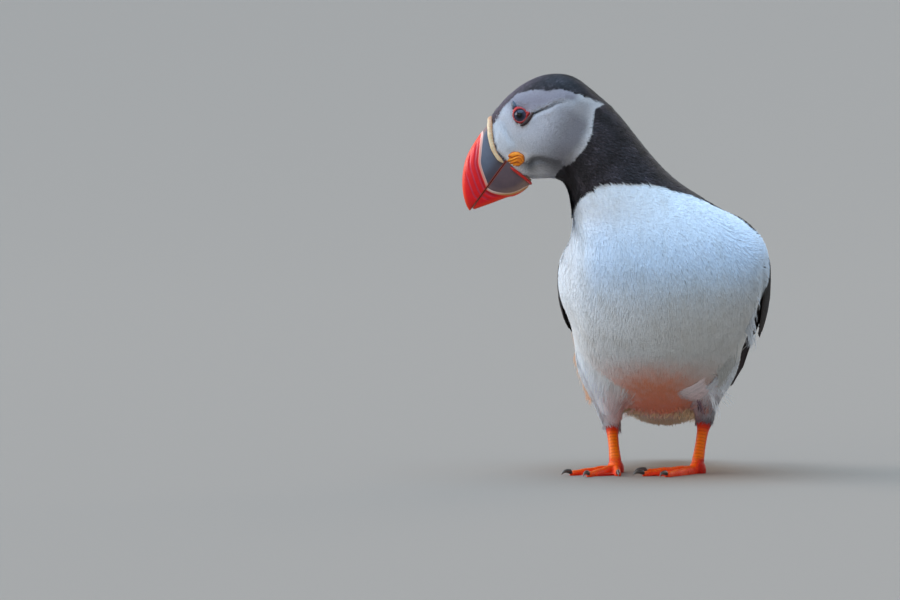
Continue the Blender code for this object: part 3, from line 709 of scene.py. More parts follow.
def front_colours(points):
    """White front, bluish above and duller going down as painted light, with painted shade low on its left side, a
    painted shadow across the breast, the belly's rusty orange patch and cream down at the rear.
    """
    x, y, z = points.T
    # painted light: bluish white above, duller and warmer going down, as if lit by the sky from above
    white = blend(SKY_TINTED_WHITE, OLIVE, 0.16 * ease(112, 66, z))
    white = blend(white, OLIVE * 0.8, 0.14 * np.clip(soft_noise(points * (1, 1, 0.35), 8, 2), 0, 1))
    # painted shade: the lower front darker and duller towards the bird's left side, away from the side light
    white = blend(white, OLIVE * 0.72, (0.08 + 0.30 * ease(-20, 26, x)) * ease(124, 92, z))
    # a rusty orange patch low on the belly, in soft streaks
    rusty_patch = bell(x, 2, 25) * ease(68, 44, z) * ease(26, 10, y)
    streaks = 1 + 0.16 * soft_noise(points * (1, 1, 0.3), 5, 4)
    white = blend(white, RUST, np.clip(rusty_patch * streaks, 0, 0.92))
    shadow = bell(z, 112, 18) * ease(-38, -22, x)
    white = white * (1 - shadow[:, None] * BREAST_SHADE)
    return blend(white, CREAM, 0.8 * ease(60, 30, z) * ease(14, 30, y))


def back_colours(points, t):
    """Black crown, collar and back; the crown's top is a lighter, warmer grey, partly its own colour and partly a
    painted highlight where it faces up.
    """
    _, up, left = in_head_frame(points)
    black = blend(INK, INK_GREY, 0.3 + 0.3 * np.clip(soft_noise(points, 9, 3), -1, 1))
    # the top of the crown lighter and warmer: partly its own grey, partly a painted highlight
    crown = ease(14, 25, up) * ease(20, 0, np.abs(left)) * (t > HEAD_ROW)
    black = blend(black, INK_GREY * (2.6, 2.2, 2.2), crown)
    return black * (1 + 0.3 * soft_noise(points, 2.4, 12) + 0.16 * soft_noise(points, 1.1, 13))[:, None]


def markings(points, t, angle):
    """The plumage colour at points on the body, and which kind of feather it is."""
    forward, up, left = in_head_frame(points)
    front = from_front(angle)
    ragged = 0.3 * soft_noise(points, 4, 1)
    patch = edge_distance(side_view(points), PATCH) + 0.3 * ragged
    inner = np.abs(left) - np.interp(forward, (-25, -12, 5, 20, 30), (9.5, 8.5, 7.5, 4.4, 3.6))
    patch = np.minimum(patch, inner + 30 * ((up < 10) & (forward > -4)))
    collar = np.interp(front, COLLAR[:, 0], COLLAR[:, 1]) - t
    reach = np.interp(t, WHITE_REACH[:, 0], WHITE_REACH[:, 1]) - np.abs(front)
    breast = np.minimum(collar * 11, reach * 0.8) + ragged
    kind = np.where(t > HEAD_ROW - 1.2, np.where(patch > 0, FACE, BLACK), np.where(breast > 0, WHITE, BLACK))
    kind = np.where((patch > 0) & (t > NECK_ROW + 0.6) & (forward > -25), FACE, kind)
    colour = np.where((kind == FACE)[:, None], face_colours(points, patch), back_colours(points, t))
    return np.where((kind == WHITE)[:, None], front_colours(points), colour), kind


def thigh_markings(points, share, side):
    """White thighs, pinkish inside, slate at the ankle."""
    inner = ease(4, -8, side * points[:, 0] - abs(LEGS[side]["ankle"][0]))
    colour = blend(SKY_TINTED_WHITE, PINK, ease(0.2, 0.7, share) * inner * 0.9)
    if side < 0:
        return blend(colour, ANKLE, (0.35 + 0.5 * inner) * ease(0.78, 1.0, share))
    colour = blend(colour, ANKLE * 1.4, 0.55 * ease(0.42, 0.66, share) * ease(22, 8, points[:, 1]))
    return blend(colour, ANKLE, 0.85 * ease(0.68, 0.95, share))


# ---------------------------------------------------------------- skin

SKIN_VOXEL = 1.0


def depth_at(t):
    return np.interp(t, (NECK_ROW - 1, HEAD_ROW + 0.5), (BODY_DEPTH, FACE_DEPTH))


def face_relief(points):
    """How far folds of the face stand out or sink in: eye sockets, the groove behind the eye, the throat."""
    flat = side_view(points)
    on_side = ease(4, 8, np.abs(in_head_frame(points)[2]))
    socket = np.linalg.norm(flat - EYE_PLACE, axis=1)
    groove, place = line_distance(flat, EYE_GROOVE)
    crease, _ = line_distance(flat, THROAT_CREASE)
    relief = -0.9 * ease(1.5, 0.0, groove) * ease(1.05, 0.5, place)
    relief += 0.45 * bell(groove, 2.4, 1.5) * ease(1.0, 0.4, place)
    relief -= 0.8 * ease(2.2, 0.1, crease)
    relief -= 0.5 * ease(6.5, 4.0, socket)
    return relief * on_side


def at_hips(x, y, z):
    return 30 < z < 84 and abs(x) > 8 and -16 < y < 34


def at_breast(x, y, z):
    return 112 < z < 152 and y < -12 and x < 22


def soften(skin):
    """Smooths the skin where the thighs leave the belly and where the neck leaves the breast."""
    form = bmesh.new()
    form.from_mesh(skin.data)
    axes = {"use_axis_x": True, "use_axis_y": True, "use_axis_z": True}
    for place, rounds in ((at_hips, 60), (at_breast, 110)):
        verts = [v for v in form.verts if place(*v.co)]
        for _ in range(rounds):
            bmesh.ops.smooth_vert(form, verts=verts, factor=0.5, **axes)
    form.to_mesh(skin.data)
    form.free()


def muzzle_surface(back, turn, out=0.0):
    """The feathered base of the face, from the bill (0) back onto the cheeks (1), round over ridge and chin."""
    turn = np.asarray(turn, float) * 2 * pi
    rise, upper = np.maximum(np.abs(np.sin(turn)), 1e-4) ** 0.9, np.sin(turn) > 0
    side = bill_ring(turn)[1]
    forward = np.where(upper, bill_edge(rise, BILL_START - 0.2), 29.4)
    up = np.where(upper, GAPE_UP + 19.0 * rise, GAPE_UP - 15.2 * rise)
    back, out = np.asarray(back, float), np.asarray(out, float)
    forward = forward - back * np.where(upper, 9 - 2.5 * rise, 9)
    up = up + back * np.where(upper, 0.3, -5.2) * rise + out * np.sin(turn)
    return head_point(forward, up, side * (8.6 * (1 + 0.30 * back) + out))


def body_inside(u, v):
    t = u * CROWN_ROW
    return body_surface(t, v * 2 * pi, -depth_at(t))


def wing_inside(side):
    """The wing's skin: its outer face, and back through the body."""

    def surface(u, v):
        across = 0.97 * np.where(v < 0.5, v * 4 - 1, 3 - v * 4)
        t, angle, rise = wing_place(side, 0.02 + 0.96 * u, across)
        return body_surface(t, angle, np.where(v < 0.5, rise - WING_SINK[side], -4.0))

    return surface


def thigh_inside(side):
    thigh = thigh_surface(side)
    return lambda u, v: thigh(u * THIGH_END[side], v * 2 * pi, -np.interp(u, (0, 1), (1.2, 0.7)))


def between_faces(face, length, width, depth):
    """A closed tube inside two faces, face(1) and face(-1), over a share of their length and width."""

    def surface(u, v):
        turn = v * 2 * pi
        upper, lower = (face(which)(u * length, np.cos(turn) * width, -depth) for which in (1, -1))
        return np.where((np.sin(turn) > 0)[:, None], upper, lower)

    return surface


def skin_colours(points):
    """The nearest place on the body's own surface says which marking a point of the skin has."""
    turns = np.arange(120) * 2 * pi / 120
    grid_t, grid_angle = (g.ravel() for g in np.meshgrid(np.linspace(0, CROWN_ROW, 331), turns, indexing="ij"))
    grid = body_surface(grid_t, grid_angle, -BODY_DEPTH)
    near = nearest(grid, points)
    colour, _ = markings(points, grid_t[near], grid_angle[near])
    x, y, z = points.T
    off_body = np.linalg.norm(points - grid[near], axis=1) > 1.6
    for side in (1, -1):
        rows = LEGS[side]["thigh"]
        share = np.interp(-z, [-r[2] for r in rows], np.linspace(0, 1, len(rows)))
        core = spline(rows, share * (len(rows) - 1))
        on_thigh = np.hypot(x - core[:, 0], y - core[:, 1]) < core[:, 3] + 4
        on_thigh &= off_body & (z < 60)
        colour[on_thigh] = thigh_markings(points[on_thigh], share[on_thigh], side)
    on_wing = (z > 62) & (z < 142) & (np.abs(x) > 20)
    colour[off_body & (on_wing | (y > 40))] = INK
    return colour


def make_skin():
    """One closed skin round head, neck, trunk, wings, thighs and tail, a coat's depth inside the solids."""
    forms = [sheet(body_inside, 260, 150), sheet(muzzle_surface, 40, 120)]
    for side in (1, -1):
        flight = between_faces(lambda face, side=side: flight_surface(side, face), 0.86, 0.9, 0.5)
        forms += [sheet(wing_inside(side), 90, 80), sheet(thigh_inside(side), 60, 60), sheet(flight, 60, 40)]
    forms.append(sheet(between_faces(tail_surface, 0.9, 0.92, 0.7), 50, 50))
    skin = fused("skin", forms, SKIN_VOXEL)
    soften(skin)
    points = points_of(skin.data)
    points[:, 0] += 3.2 * ease(-28, -44, points[:, 0]) * bell(points[:, 2], 75, 13)  # a flatter right flank
    points = points + points_of(skin.data, "normal") * face_relief(points)[:, None]
    move_points(skin.data, points)
    skin.data.update()
    # the skin takes the coat's markings a little darker: painted shade of the coat's depth, seen between the feathers
    put_values(skin.data, "tint", skin_colours(points) * 0.9)
    return skin


skin = make_skin()
skin_tree = BVHTree.FromPolygons([v.co for v in skin.data.vertices], [p.vertices[:] for p in skin.data.polygons])


def facings(mesh):
    """A smooth outward direction for each face."""
    corners, starts = np.empty(len(mesh.loops), np.int32), np.empty(len(mesh.polygons), np.int32)
    mesh.loops.foreach_get("vertex_index", corners)
    mesh.polygons.foreach_get("loop_start", starts)
    return unit(np.add.reduceat(points_of(mesh, "normal").astype(np.float32)[corners], starts))


skin_facings = facings(skin.data)


def buried(points, by):
    """Which points lie deeper than this below the skin."""
    found = [skin_tree.find_nearest(p) for p in points]
    heights = [(Vector(p) - place).dot(normal) for p, (place, normal, _, _) in zip(points, found)]
    return np.array(heights) < -np.asarray(by)


def hug(points, heights):
    """Points moved to a height over the skin, and the skin's outward directions there."""
    found = [skin_tree.find_nearest(p) for p in points]
    normals = skin_facings[[f[2] for f in found]]
    return np.array([f[0] for f in found]) + normals * np.asarray(heights)[:, None], normals


# ---------------------------------------------------------------- the coat


def tangents(surface, a, b):
    """Points, the steps of the surface along a and b, and its outward direction."""
    da, db = 0.01, 0.005
    here = surface(a, b)
    along = (surface(a + da, b) - surface(a - da, b)) / (2 * da)
    across = (surface(a, b + db) - surface(a, b - db)) / (2 * db)
    normal = unit(np.cross(along, across))
    outward = surface(a, b, 0.5) - here
    return here, along, across, normal * np.sign(dot(normal, outward))[:, None]


def scatter(surface, spans, cells, density):
    """Even, shuffled places on a surface; density(a, b, points) is tufts on a square millimetre."""
    (a0, a1), (b0, b1) = spans
    na, nb = cells
    da, db = (a1 - a0) / na, (b1 - b0) / nb
    middles = (low + step * (np.arange(n) + 0.5) for low, step, n in ((a0, da, na), (b0, db, nb)))
    a, b = (grid.ravel() for grid in np.meshgrid(*middles, indexing="ij"))
    here, along, across, _ = tangents(surface, a, b)
    area = np.linalg.norm(np.cross(along, across), axis=1) * da * db
    total = np.cumsum(area * density(a, b, here))
    picks = np.arange(int(total[-1])) + random.uniform(0, 1, int(total[-1]))
    cell = np.minimum(np.searchsorted(total, picks), len(a) - 1)
    count = len(cell)
    return a[cell] + random.uniform(-0.5, 0.5, count) * da, b[cell] + random.uniform(-0.5, 0.5, count) * db


def steer(along, across, heading):
    """Steps of a and b that move one millimetre along the surface towards a heading."""
    aa, ab, bb = dot(along, along), dot(along, across), dot(across, across)
    ha, hb = dot(heading, along), dot(heading, across)
    det = np.maximum(aa * bb - ab * ab, 1e-6)
    da, db = (ha * bb - hb * ab) / det, (hb * aa - ha * ab) / det
    size = np.linalg.norm(along * da[:, None] + across * db[:, None], axis=1)
    return da / np.maximum(size, 1e-6), db / np.maximum(size, 1e-6)


class Coat:
    """Gathers thin blades and vanes and turns them into joined meshes."""

    def __init__(self):
        self.batches = []

    def add(self, points, triangles, normals, tints, marks, chart):
        """points (n, k, 3) of n like shapes; triangles index k; chart is one place for each shape."""
        self.batches.append((points, np.asarray(triangles), normals, tints, marks, chart))

    def some(self, part):
        """Some of the shapes, each kind of value in one list, with a small patch of the chart for each shape."""
        lists, start = [], 0
        for points, triangles, normals, tints, marks, chart in self.batches:
            n, k = points[part].shape[:2]
            corners = triangles[None] + (start + np.arange(n) * k)[:, None, None]
            patch = PATCH_SIZE * (np.linspace(0, 1, k)[None, :, None] - 0.5) * (1, 0)
            patch = patch + PATCH_SIZE * 0.5 * np.where(np.arange(k) % 2, 1, -1)[None, :, None] * (0, 1)
            rows = (points[part], corners, normals[part], tints[part], marks[part], chart[part][:, None] + patch)
            lists.append([row.reshape(-1, row.shape[-1]) for row in rows])
            start += n * k
        return [np.concatenate(column) for column in zip(*lists)]

    def finish(self, name, paint, slot, count=1):
        """Shares the shapes out over a few pieces, so that neighbours go to different ones."""
        for number in range(count):
            points, corners, normals, tints, marks, charts = self.some(slice(number, None, count))
            mesh = bpy.data.meshes.new(name)
            mesh.vertices.add(len(points))
            mesh.loops.add(corners.size)
            mesh.polygons.add(len(corners))
            move_points(mesh, points)
            mesh.loops.foreach_set("vertex_index", corners.astype(np.int32).ravel())
            mesh.polygons.foreach_set("loop_start", np.arange(len(corners), dtype=np.int32) * 3)
            mesh.update(calc_edges=True)
            for word, values in (("tint", tints), ("along", marks[:, 0]), ("across", marks[:, 1])):
                put_values(mesh, word, values)
            charts = np.clip(charts, 0.001, 0.999)[corners.ravel()]
            mesh.uv_layers.new(name="OFBake").data.foreach_set("uv", charts.astype(np.float32).ravel())
            obj = bpy.data.objects.new(f"{name}_{number + 1}" if count > 1 else name, mesh)
            bpy.context.scene.collection.objects.link(obj)
            finished(obj, paint, slot)
            mesh.normals_split_custom_set_from_vertices(unit(normals))


PATCH_SIZE = 0.003  # of the chart, for one feather
# A blade: two points at each station but the last, how wide it is there, and how light it is there, darker towards the
# root as painted shade of the coat's depth.
BLADE_STATIONS = np.array([0.0, 0.38, 0.74, 1.0])
BLADE_WIDTHS = np.array([0.7, 1.0, 0.72])
BLADE_MARKS = np.array([(s, c) for s in BLADE_STATIONS[:3] for c in (-1, 1)] + [(1, 0)])
BLADE_ROOT_SHADE = np.array([0.9, 0.9, 0.97, 0.97, 1.0, 1.0, 1.03])
BLADE_TRIANGLES = [(0, 3, 1), (0, 2, 3), (2, 5, 3), (2, 4, 5), (4, 6, 5)]


def tufts(coat, surface, a, b, heading, length, width, lift, tint, chart, blades=3, fan=0.28, sink=0.4,
          base=None, tilt=0.2, vary=0.04, uneven=0.4):
    """Small locks of narrow blades that leave a surface at (a, b) and lie along it, or hug the skin if base is None."""
    n = len(a)
    if not n:
        return
    here, along, across, normal = tangents(surface, a, b)
    if base is None:
        normal = hug(here, np.zeros(n))[1]
    flat = unit(heading - normal * dot(heading, normal)[:, None])
    for k in range(blades):
        turn = (k - (blades - 1) / 2) * fan / max(blades - 1, 1) * 2 + random.normal(0, fan * 0.45, n)
        aside = np.cross(normal, flat)
        way = flat * np.cos(turn)[:, None] + aside * np.sin(turn)[:, None]
        da, db = steer(along, across, way)
        reach = length * random.uniform(0.72, 1.08, n) * (0.86 if k != blades // 2 else 1.0)
        wide = width * random.uniform(0.75, 1.2, n)
        rise = lift * random.uniform(1 - uneven, 1 + uneven * 0.8, n)
        side = np.cross(normal, way)
        rows = []
        for j, s in enumerate(BLADE_STATIONS):
            out = rise * s**1.2 - sink * (1 - s) ** 2
            if base is None:
                middle, _ = hug(surface(a + da * reach * s, b + db * reach * s), out)
            else:
                middle = surface(a + da * reach * s, b + db * reach * s, base + out)
            if j < len(BLADE_WIDTHS):
                half = side * (wide * BLADE_WIDTHS[j] / 2)[:, None]
                rows += [middle - half, middle + half]
            else:
                rows.append(middle)
        facing = np.stack([normal - side * tilt, normal + side * tilt] * 3 + [normal + flat * 0.12], 1)
        tone = tint * random.uniform(1 - vary, 1 + vary, n)[:, None]
        # painted shade: each blade darker at its root, deeper in the coat
        tones = np.repeat(tone[:, None], len(BLADE_ROOT_SHADE), 1) * BLADE_ROOT_SHADE[None, :, None]
        marks = np.broadcast_to(BLADE_MARKS, (n, *BLADE_MARKS.shape))
        coat.add(np.stack(rows, 1), BLADE_TRIANGLES, facing, tones, marks, chart)


VANE_STATIONS = np.array([0.0, 0.22, 0.46, 0.68, 0.86, 1.0])
VANE_COLUMNS = np.array([-1.0, -0.5, 0.0, 0.5, 1.0])


def vane_triangles():
    faces, wide = [], len(VANE_COLUMNS)
    for j in range(len(VANE_STATIONS) - 1):
        for i in range(wide - 1):
            p = j * wide + i
            faces += [(p, p + wide + 1, p + 1), (p, p + wide, p + wide + 1)]
    return faces


VANE_TRIANGLES = vane_triangles()


def vanes(coat, surface, a, b, heading, length, width, lift, tint, chart, base, pointed=0.5, camber=0.12,
          edge=None):
    """Whole feathers with a shaft: leaves that lie along a surface from (a, b), each tip over the next root."""
    n = len(a)
    here, along, across, normal = tangents(surface, a, b)
    way = unit(heading - normal * dot(heading, normal)[:, None])
    da, db = steer(along, across, way)
    side = np.cross(normal, way)
    length = length * random.uniform(0.94, 1.06, n)
    width = np.broadcast_to(width, n)
    rows, facing, marks = [], [], []
    for s in VANE_STATIONS:
        middle = surface(a + da * length * s, b + db * length * s, base + lift * s**0.8)
        swell = min(1.0, 0.45 + 1.6 * s) * (1 - s**3.2) ** 0.6
        narrow = min(1.0, 0.45 + 1.6 * s) * (1 - s**2) ** 0.75
        half = width / 2 * (swell * (1 - pointed) + narrow * pointed) + 0.02
        for c in VANE_COLUMNS:
            back = np.abs(c) ** 1.5 * length * 0.05 * (s > 0.9)
            drop = camber * width * c * c
            rows.append(middle + side * (half * c)[:, None] - normal * drop[:, None] - way * back[:, None])
            facing.append(normal + side * 0.45 * c + way * 0.08)
            marks.append((s, c))
    tones = np.repeat((tint * random.uniform(0.88, 1.1, n)[:, None])[:, None], len(rows), 1)
    if edge is not None:
        rim = np.array([max(abs(c) ** 5 * 0.7, s**7) for s, c in marks])[None, :, None]
        tones = tones + (edge - tones) * rim * random.uniform(0.5, 1.0, n)[:, None, None]
    marks = np.broadcast_to(np.array(marks), (n, len(rows), 2))
    coat.add(np.stack(rows, 1), VANE_TRIANGLES, np.stack(facing, 1), tones, marks, chart)


def body_chart(t, angle):
    """The place of a root on the flat pattern of the body."""
    return np.stack([0.02 + 0.62 * (angle / (2 * pi) % 1), 0.02 + 0.94 * t / CROWN_ROW], -1)


def patch_chart(corner, size):
    """The place of a root on a smaller part's own flat pattern."""
    return lambda u, v: np.stack([corner[0] + size[0] * u, corner[1] + size[1] * v], -1)


CHART_LEFT = {1: 0.67, -1: 0.83}  # where the smaller parts of each side begin on the pattern
THIGH_CHART, WING_CHART, FLIGHT_CHART = (
    {side: patch_chart((left, low), (0.14, high)) for side, left in CHART_LEFT.items()}
    for low, high in ((0.02, 0.2), (0.26, 0.36), (0.8, 0.16))
)
TAIL_CHART = patch_chart((0.67, 0.66), (0.3, 0.06))
MUZZLE_CHART = patch_chart((0.67, 0.74), (0.3, 0.04))


def body_heading(points, t, along):
    """Which way feathers lie: from the bill back over the face, then down the neck and trunk to the tail."""
    forward, up, _ = in_head_frame(points)
    tailward = unit(-along)
    down = 0.25 + 0.9 * ease(5, -18, up) + 0.5 * ease(0, -20, forward)
    sweep = -HEAD_FORWARD - HEAD_UP * down[:, None]
    share = ease(HEAD_ROW - 1.3, HEAD_ROW + 1.0, t)[:, None]
    return unit(sweep * share + tailward * (1 - share))


def plumage(name, roughness, sheen, grain, contrast):
    """Feather paint: the tint of each root, mottled along fine streaks."""
    paint = Paint(name, roughness=roughness, sheen_weight=sheen, sheen_roughness=0.5, specular_ior_level=0.25)
    fine = paint.noise(paint.place((grain, grain, grain * 0.3)), 1.0, 3.0)
    broad = paint.noise(paint.place((1, 1, 0.6)), 120.0, 2.0)
    tone = 1.0 + (fine - 0.5) * contrast + (broad - 0.5) * (contrast * 0.6)
    paint.set(base_color=paint.mix(1.0, paint.colour("tint"), tone, "MULTIPLY"))
    return paint.bump(fine, 0.0003, 0.4)


white_plumage = plumage("white plumage", 0.75, 0.15, 1400, 0.16)
face_plumage = plumage("face plumage", 0.8, 0.1, 2200, 0.2)
black_plumage = plumage("black plumage", 0.6, 0.06, 1600, 0.5)
skin_paint = plumage("skin under the coat", 0.85, 0.0, 1500, 0.2)


def vane_paint():
    """Paint of whole feathers: barbs run out from a paler shaft."""
    paint = Paint("wing feathers", roughness=0.6, sheen_weight=0.02, sheen_roughness=0.4, specular_ior_level=0.1)
    along, across = paint.number("along"), paint.number("across")
    aside = across.maths("ABSOLUTE", across)
    wave = along * 190 - aside * 26
    barbs = wave.maths("SINE", wave) * 0.5 + 0.5
    shaft = 1 - aside.step(0.07, 0.05)
    tone = 0.88 + barbs * 0.1 + paint.noise(paint.place(), 160.0, 3.0) * 0.25
    tint = paint.mix(1.0, paint.colour("tint"), tone, "MULTIPLY")
    paint.set(base_color=paint.mix(shaft * 0.35, tint, shade(66, 58, 56)))
    return paint.bump(barbs * 0.5 + shaft * 1.5, 0.00025, 0.6)


wing_paint = vane_paint()
finished(skin, skin_paint, "white_feather", "head", "neck", "trunk", "thigh_left", "thigh_right", "wing_left",
         "wing_right")


# ---------------------------------------------------------------- the coat, region by region

COUNT = 1.0  # share of the feathers that grow


def under_flank(side, points, across):
    """Above zero where the flank's white feathers lie over the lower front edge of the wing."""
    ragged = 1.2 * soft_noise(points, 6, 21)
    return np.minimum(points[:, 2] - FLANK_TO[side], (-0.35 - across) * 18) + ragged


def bill_base(up):
    """How far forward feathers reach on the face at a height: to the ridge and to the chin band."""
    rise = np.clip((up - GAPE_UP) / (BILL_TOP - GAPE_UP), 0, 1)
    return np.where(up > GAPE_UP, bill_edge(rise), 29.6) - 0.9


def on_rosette(points):
    forward, up, _ = in_head_frame(points)
    away_f, away_u = forward - ROSETTE_PLACE[0], up - ROSETTE_PLACE[1]
    return ((away_f * 0.6 + away_u * 0.8) / 5.6) ** 2 + ((away_f * 0.8 - away_u * 0.6) / 4.2) ** 2 < 1


def bare(points):
    """Where the face has no feathers: behind the bill's base, under lids and rosettes."""
    forward, up, left = in_head_frame(points)
    eye = np.hypot(forward - EYE_PLACE[0], up - EYE_PLACE[1]) < 4.1
    return (forward > bill_base(up) + 0.5) | ((eye | on_rosette(points)) & (np.abs(left) > 6))


def feathers_of_head(coats):
    """The feathers of head and neck, short round the bill and the eyes and long down the collar."""

    def density(t, angle, points):
        return COUNT * np.interp(t, (9.8, 11, 12.5, 15), (1.5, 2.0, 3.0, 3.4))

    t, angle = scatter(body_surface, ((9.3, 21.9), (0, 2 * pi)), (330, 200), density)
    points, along, _, _ = tangents(body_surface, t, angle)
    colour, kind = markings(points, t, angle)
    forward, up, _ = in_head_frame(points)
    keep = ~bare(points) & (kind != WHITE) & ~((forward > 25) & (up > -12) & (up < 22))
    t, angle, points, along, colour, kind = (x[keep] for x in (t, angle, points, along, colour, kind))
    flat, relief = side_view(points), face_relief(points)
    heading = body_heading(points, t, along)
    length = np.interp(t, (9.3, 11, 12.5, 15, 22), (7.5, 6.5, 4.4, 2.7, 2.6))
    length = length * np.interp(flat[:, 0], (-10, 10, 28), (1, 0.9, 0.6))
    groove, _ = line_distance(flat, EYE_GROOVE)
    length = length * np.where(kind == FACE, 0.85 * np.interp(groove, (0.5, 2.5), (0.6, 1.0)), 1.0)
    border = np.abs(edge_distance(flat, PATCH))
    length = length * np.where(kind == FACE, np.interp(border, (0.5, 4), (0.6, 1.0)), 1.0)
    flecks = (kind == BLACK) & (random.uniform(0, 1, len(t)) < 0.1)
    colour = colour * np.where(flecks, random.uniform(1.4, 2.2, len(t)), 1.0)[:, None]
    front = flat[:, 0] > 15
    looks = {FACE: {"blades": 2, "vary": 0.06, "uneven": 0.3}, BLACK: {"blades": 3, "vary": 0.32, "uneven": 0.5}}
    for which, look in looks.items():
        for near, base in ((front, None), (~front, relief - depth_at(t))):
            some = (kind == which) & near
            width = np.interp(length[some], (1.2, 2.5, 5), (0.3, 0.42, 0.85))
            tufts(coats[which], body_surface, t[some], angle[some], heading[some], length[some], width,
                  depth_at(t[some]) * 0.8 + 0.15, colour[some], body_chart(t[some], angle[some]),
                  base=None if base is None else base[some], **look)


def feathers_of_muzzle(coats):
    """The base of the face, up to the bill."""
    back, turn = scatter(muzzle_surface, ((0.0, 0.8), (0, 1)), (30, 140), lambda *_: 3.6 * COUNT)
    points, along, _, _ = tangents(muzzle_surface, np.maximum(back, 0.02), turn)
    colour, kind = markings(points, np.full(len(back), 16.0), turn)
    keep = ~bare(points) | ((back < 0.12) & ~on_rosette(points))
    for which, coat in coats.items():
        some = keep & (kind == which)
        length = np.interp(back[some], (0, 0.5), (1.3, 2.0))
        tufts(coat, muzzle_surface, back[some], turn[some], unit(along[some]), length, 0.34, 0.55, colour[some],
              MUZZLE_CHART(turn[some], back[some]), blades=2, vary=0.06)


def feathers_of_groove(coat, side, number=150):
    """A line of short dark feathers in the groove behind the eye."""
    last = len(EYE_GROOVE)
    spots = spline(EYE_GROOVE, np.linspace(0.15, last - 1.6, number)) + random.normal(0, 0.1, (number, 2))
    ahead = spline(EYE_GROOVE, np.linspace(0.25, last - 1.5, number))

    def cheek(f, u, out=0.0):
        return on_cheek(side, f, u, out)[0]

    heading = unit(cheek(*ahead.T) - cheek(*spots.T))
    fade = np.linspace(0, 1, number)
    tufts(coat, cheek, *spots.T, heading, 1.7, np.interp(fade, (0, 1), (0.42, 0.2)), 0.1,
          blend(DARK_GREY_AND_CREASE_SHADE * 0.35, CHEEK, fade**2 * 0.8), MUZZLE_CHART(fade, np.full(number, 0.9)), blades=2, fan=0.1,
          base=-0.25, vary=0.1)


def coat_of_head():
    coats = {FACE: Coat(), BLACK: Coat()}
    feathers_of_head(coats)
    feathers_of_muzzle(coats)
    for side in (1, -1):
        feathers_of_groove(coats[FACE], side)
    return coats


FOLD_SPAN = 3.6  # how far strands stand off the skin where they cross a fold
FOLD_DEPTH = 38  # strands whose ends lie further apart in depth are left out


def before(points, gap):
    """Depths that stand a gap in front of the skin, seen from straight ahead, and where there is skin."""
    ahead = Vector((0, 1, 0))
    places = [skin_tree.ray_cast(Vector((p[0], -200, p[2])), ahead)[0] for p in points]
    depths = [place.y - gap if place is not None else 0 for place in places]
    return np.array(depths), np.array([place is not None for place in places])


def strands(coat, roots, tips, bow, width, tint, gap=None, base=None):
    """Single loose blades from root to tip, bent by bow in the middle, at their own depth or before the skin.

    Before the skin they run straight over a shallow fold, and only those with skin behind both ends are kept.
    Base is the colour of the first stretch.
    """
    if gap is not None:
        (start, rooted), (end, met) = before(roots, gap * 0.35), before(tips, gap * 1.35)
        kept = rooted & met & (np.abs(end - start) < FOLD_DEPTH)
        roots, tips, bow, width, tint, start, end = (x[kept] for x in (roots, tips, bow, width, tint, start, end))
    n = len(roots)
    way = unit(tips - roots)
    normal = unit(np.cross(way, np.cross(np.array([0.1, -1.0, 0.15]), way)))
    side = np.cross(normal, way)
    if gap is not None:
        laid = roots * 0.4 + tips * 0.6
        laid[:, 1] = before(laid, 0)[0]
        normal = unit(normal + 0.9 * hug(laid, np.zeros(n))[1])
    rows = []
    for j, s in enumerate(BLADE_STATIONS):
        middle = roots + (tips - roots) * s + bow * (4 * s * (1 - s))
        if gap is not None:
            depth, met = before(middle, gap * (0.35 + s))
            straight = start + (end - start) * s
            middle[:, 1] = np.where(met, np.clip(straight, depth - FOLD_SPAN, depth), straight)
        if j < len(BLADE_WIDTHS):
            half = side * (width * BLADE_WIDTHS[j] / 2)[:, None]
            rows += [middle - half, middle + half]
        else:
            rows.append(middle)
    facing = np.stack([normal - side * 0.3, normal + side * 0.3] * 3 + [normal], 1)
    marks = np.zeros((n, len(rows), 2))
    tones = np.repeat(tint[:, None], len(rows), 1)
    if base is not None:
        tones[:, :2], tones[:, 2:4] = base, (tones[:, 2:4] + base) / 2
    coat.add(np.stack(rows, 1), BLADE_TRIANGLES, facing, tones, marks,
             MUZZLE_CHART(np.linspace(0, 1, n), np.full(n, 1.3)))


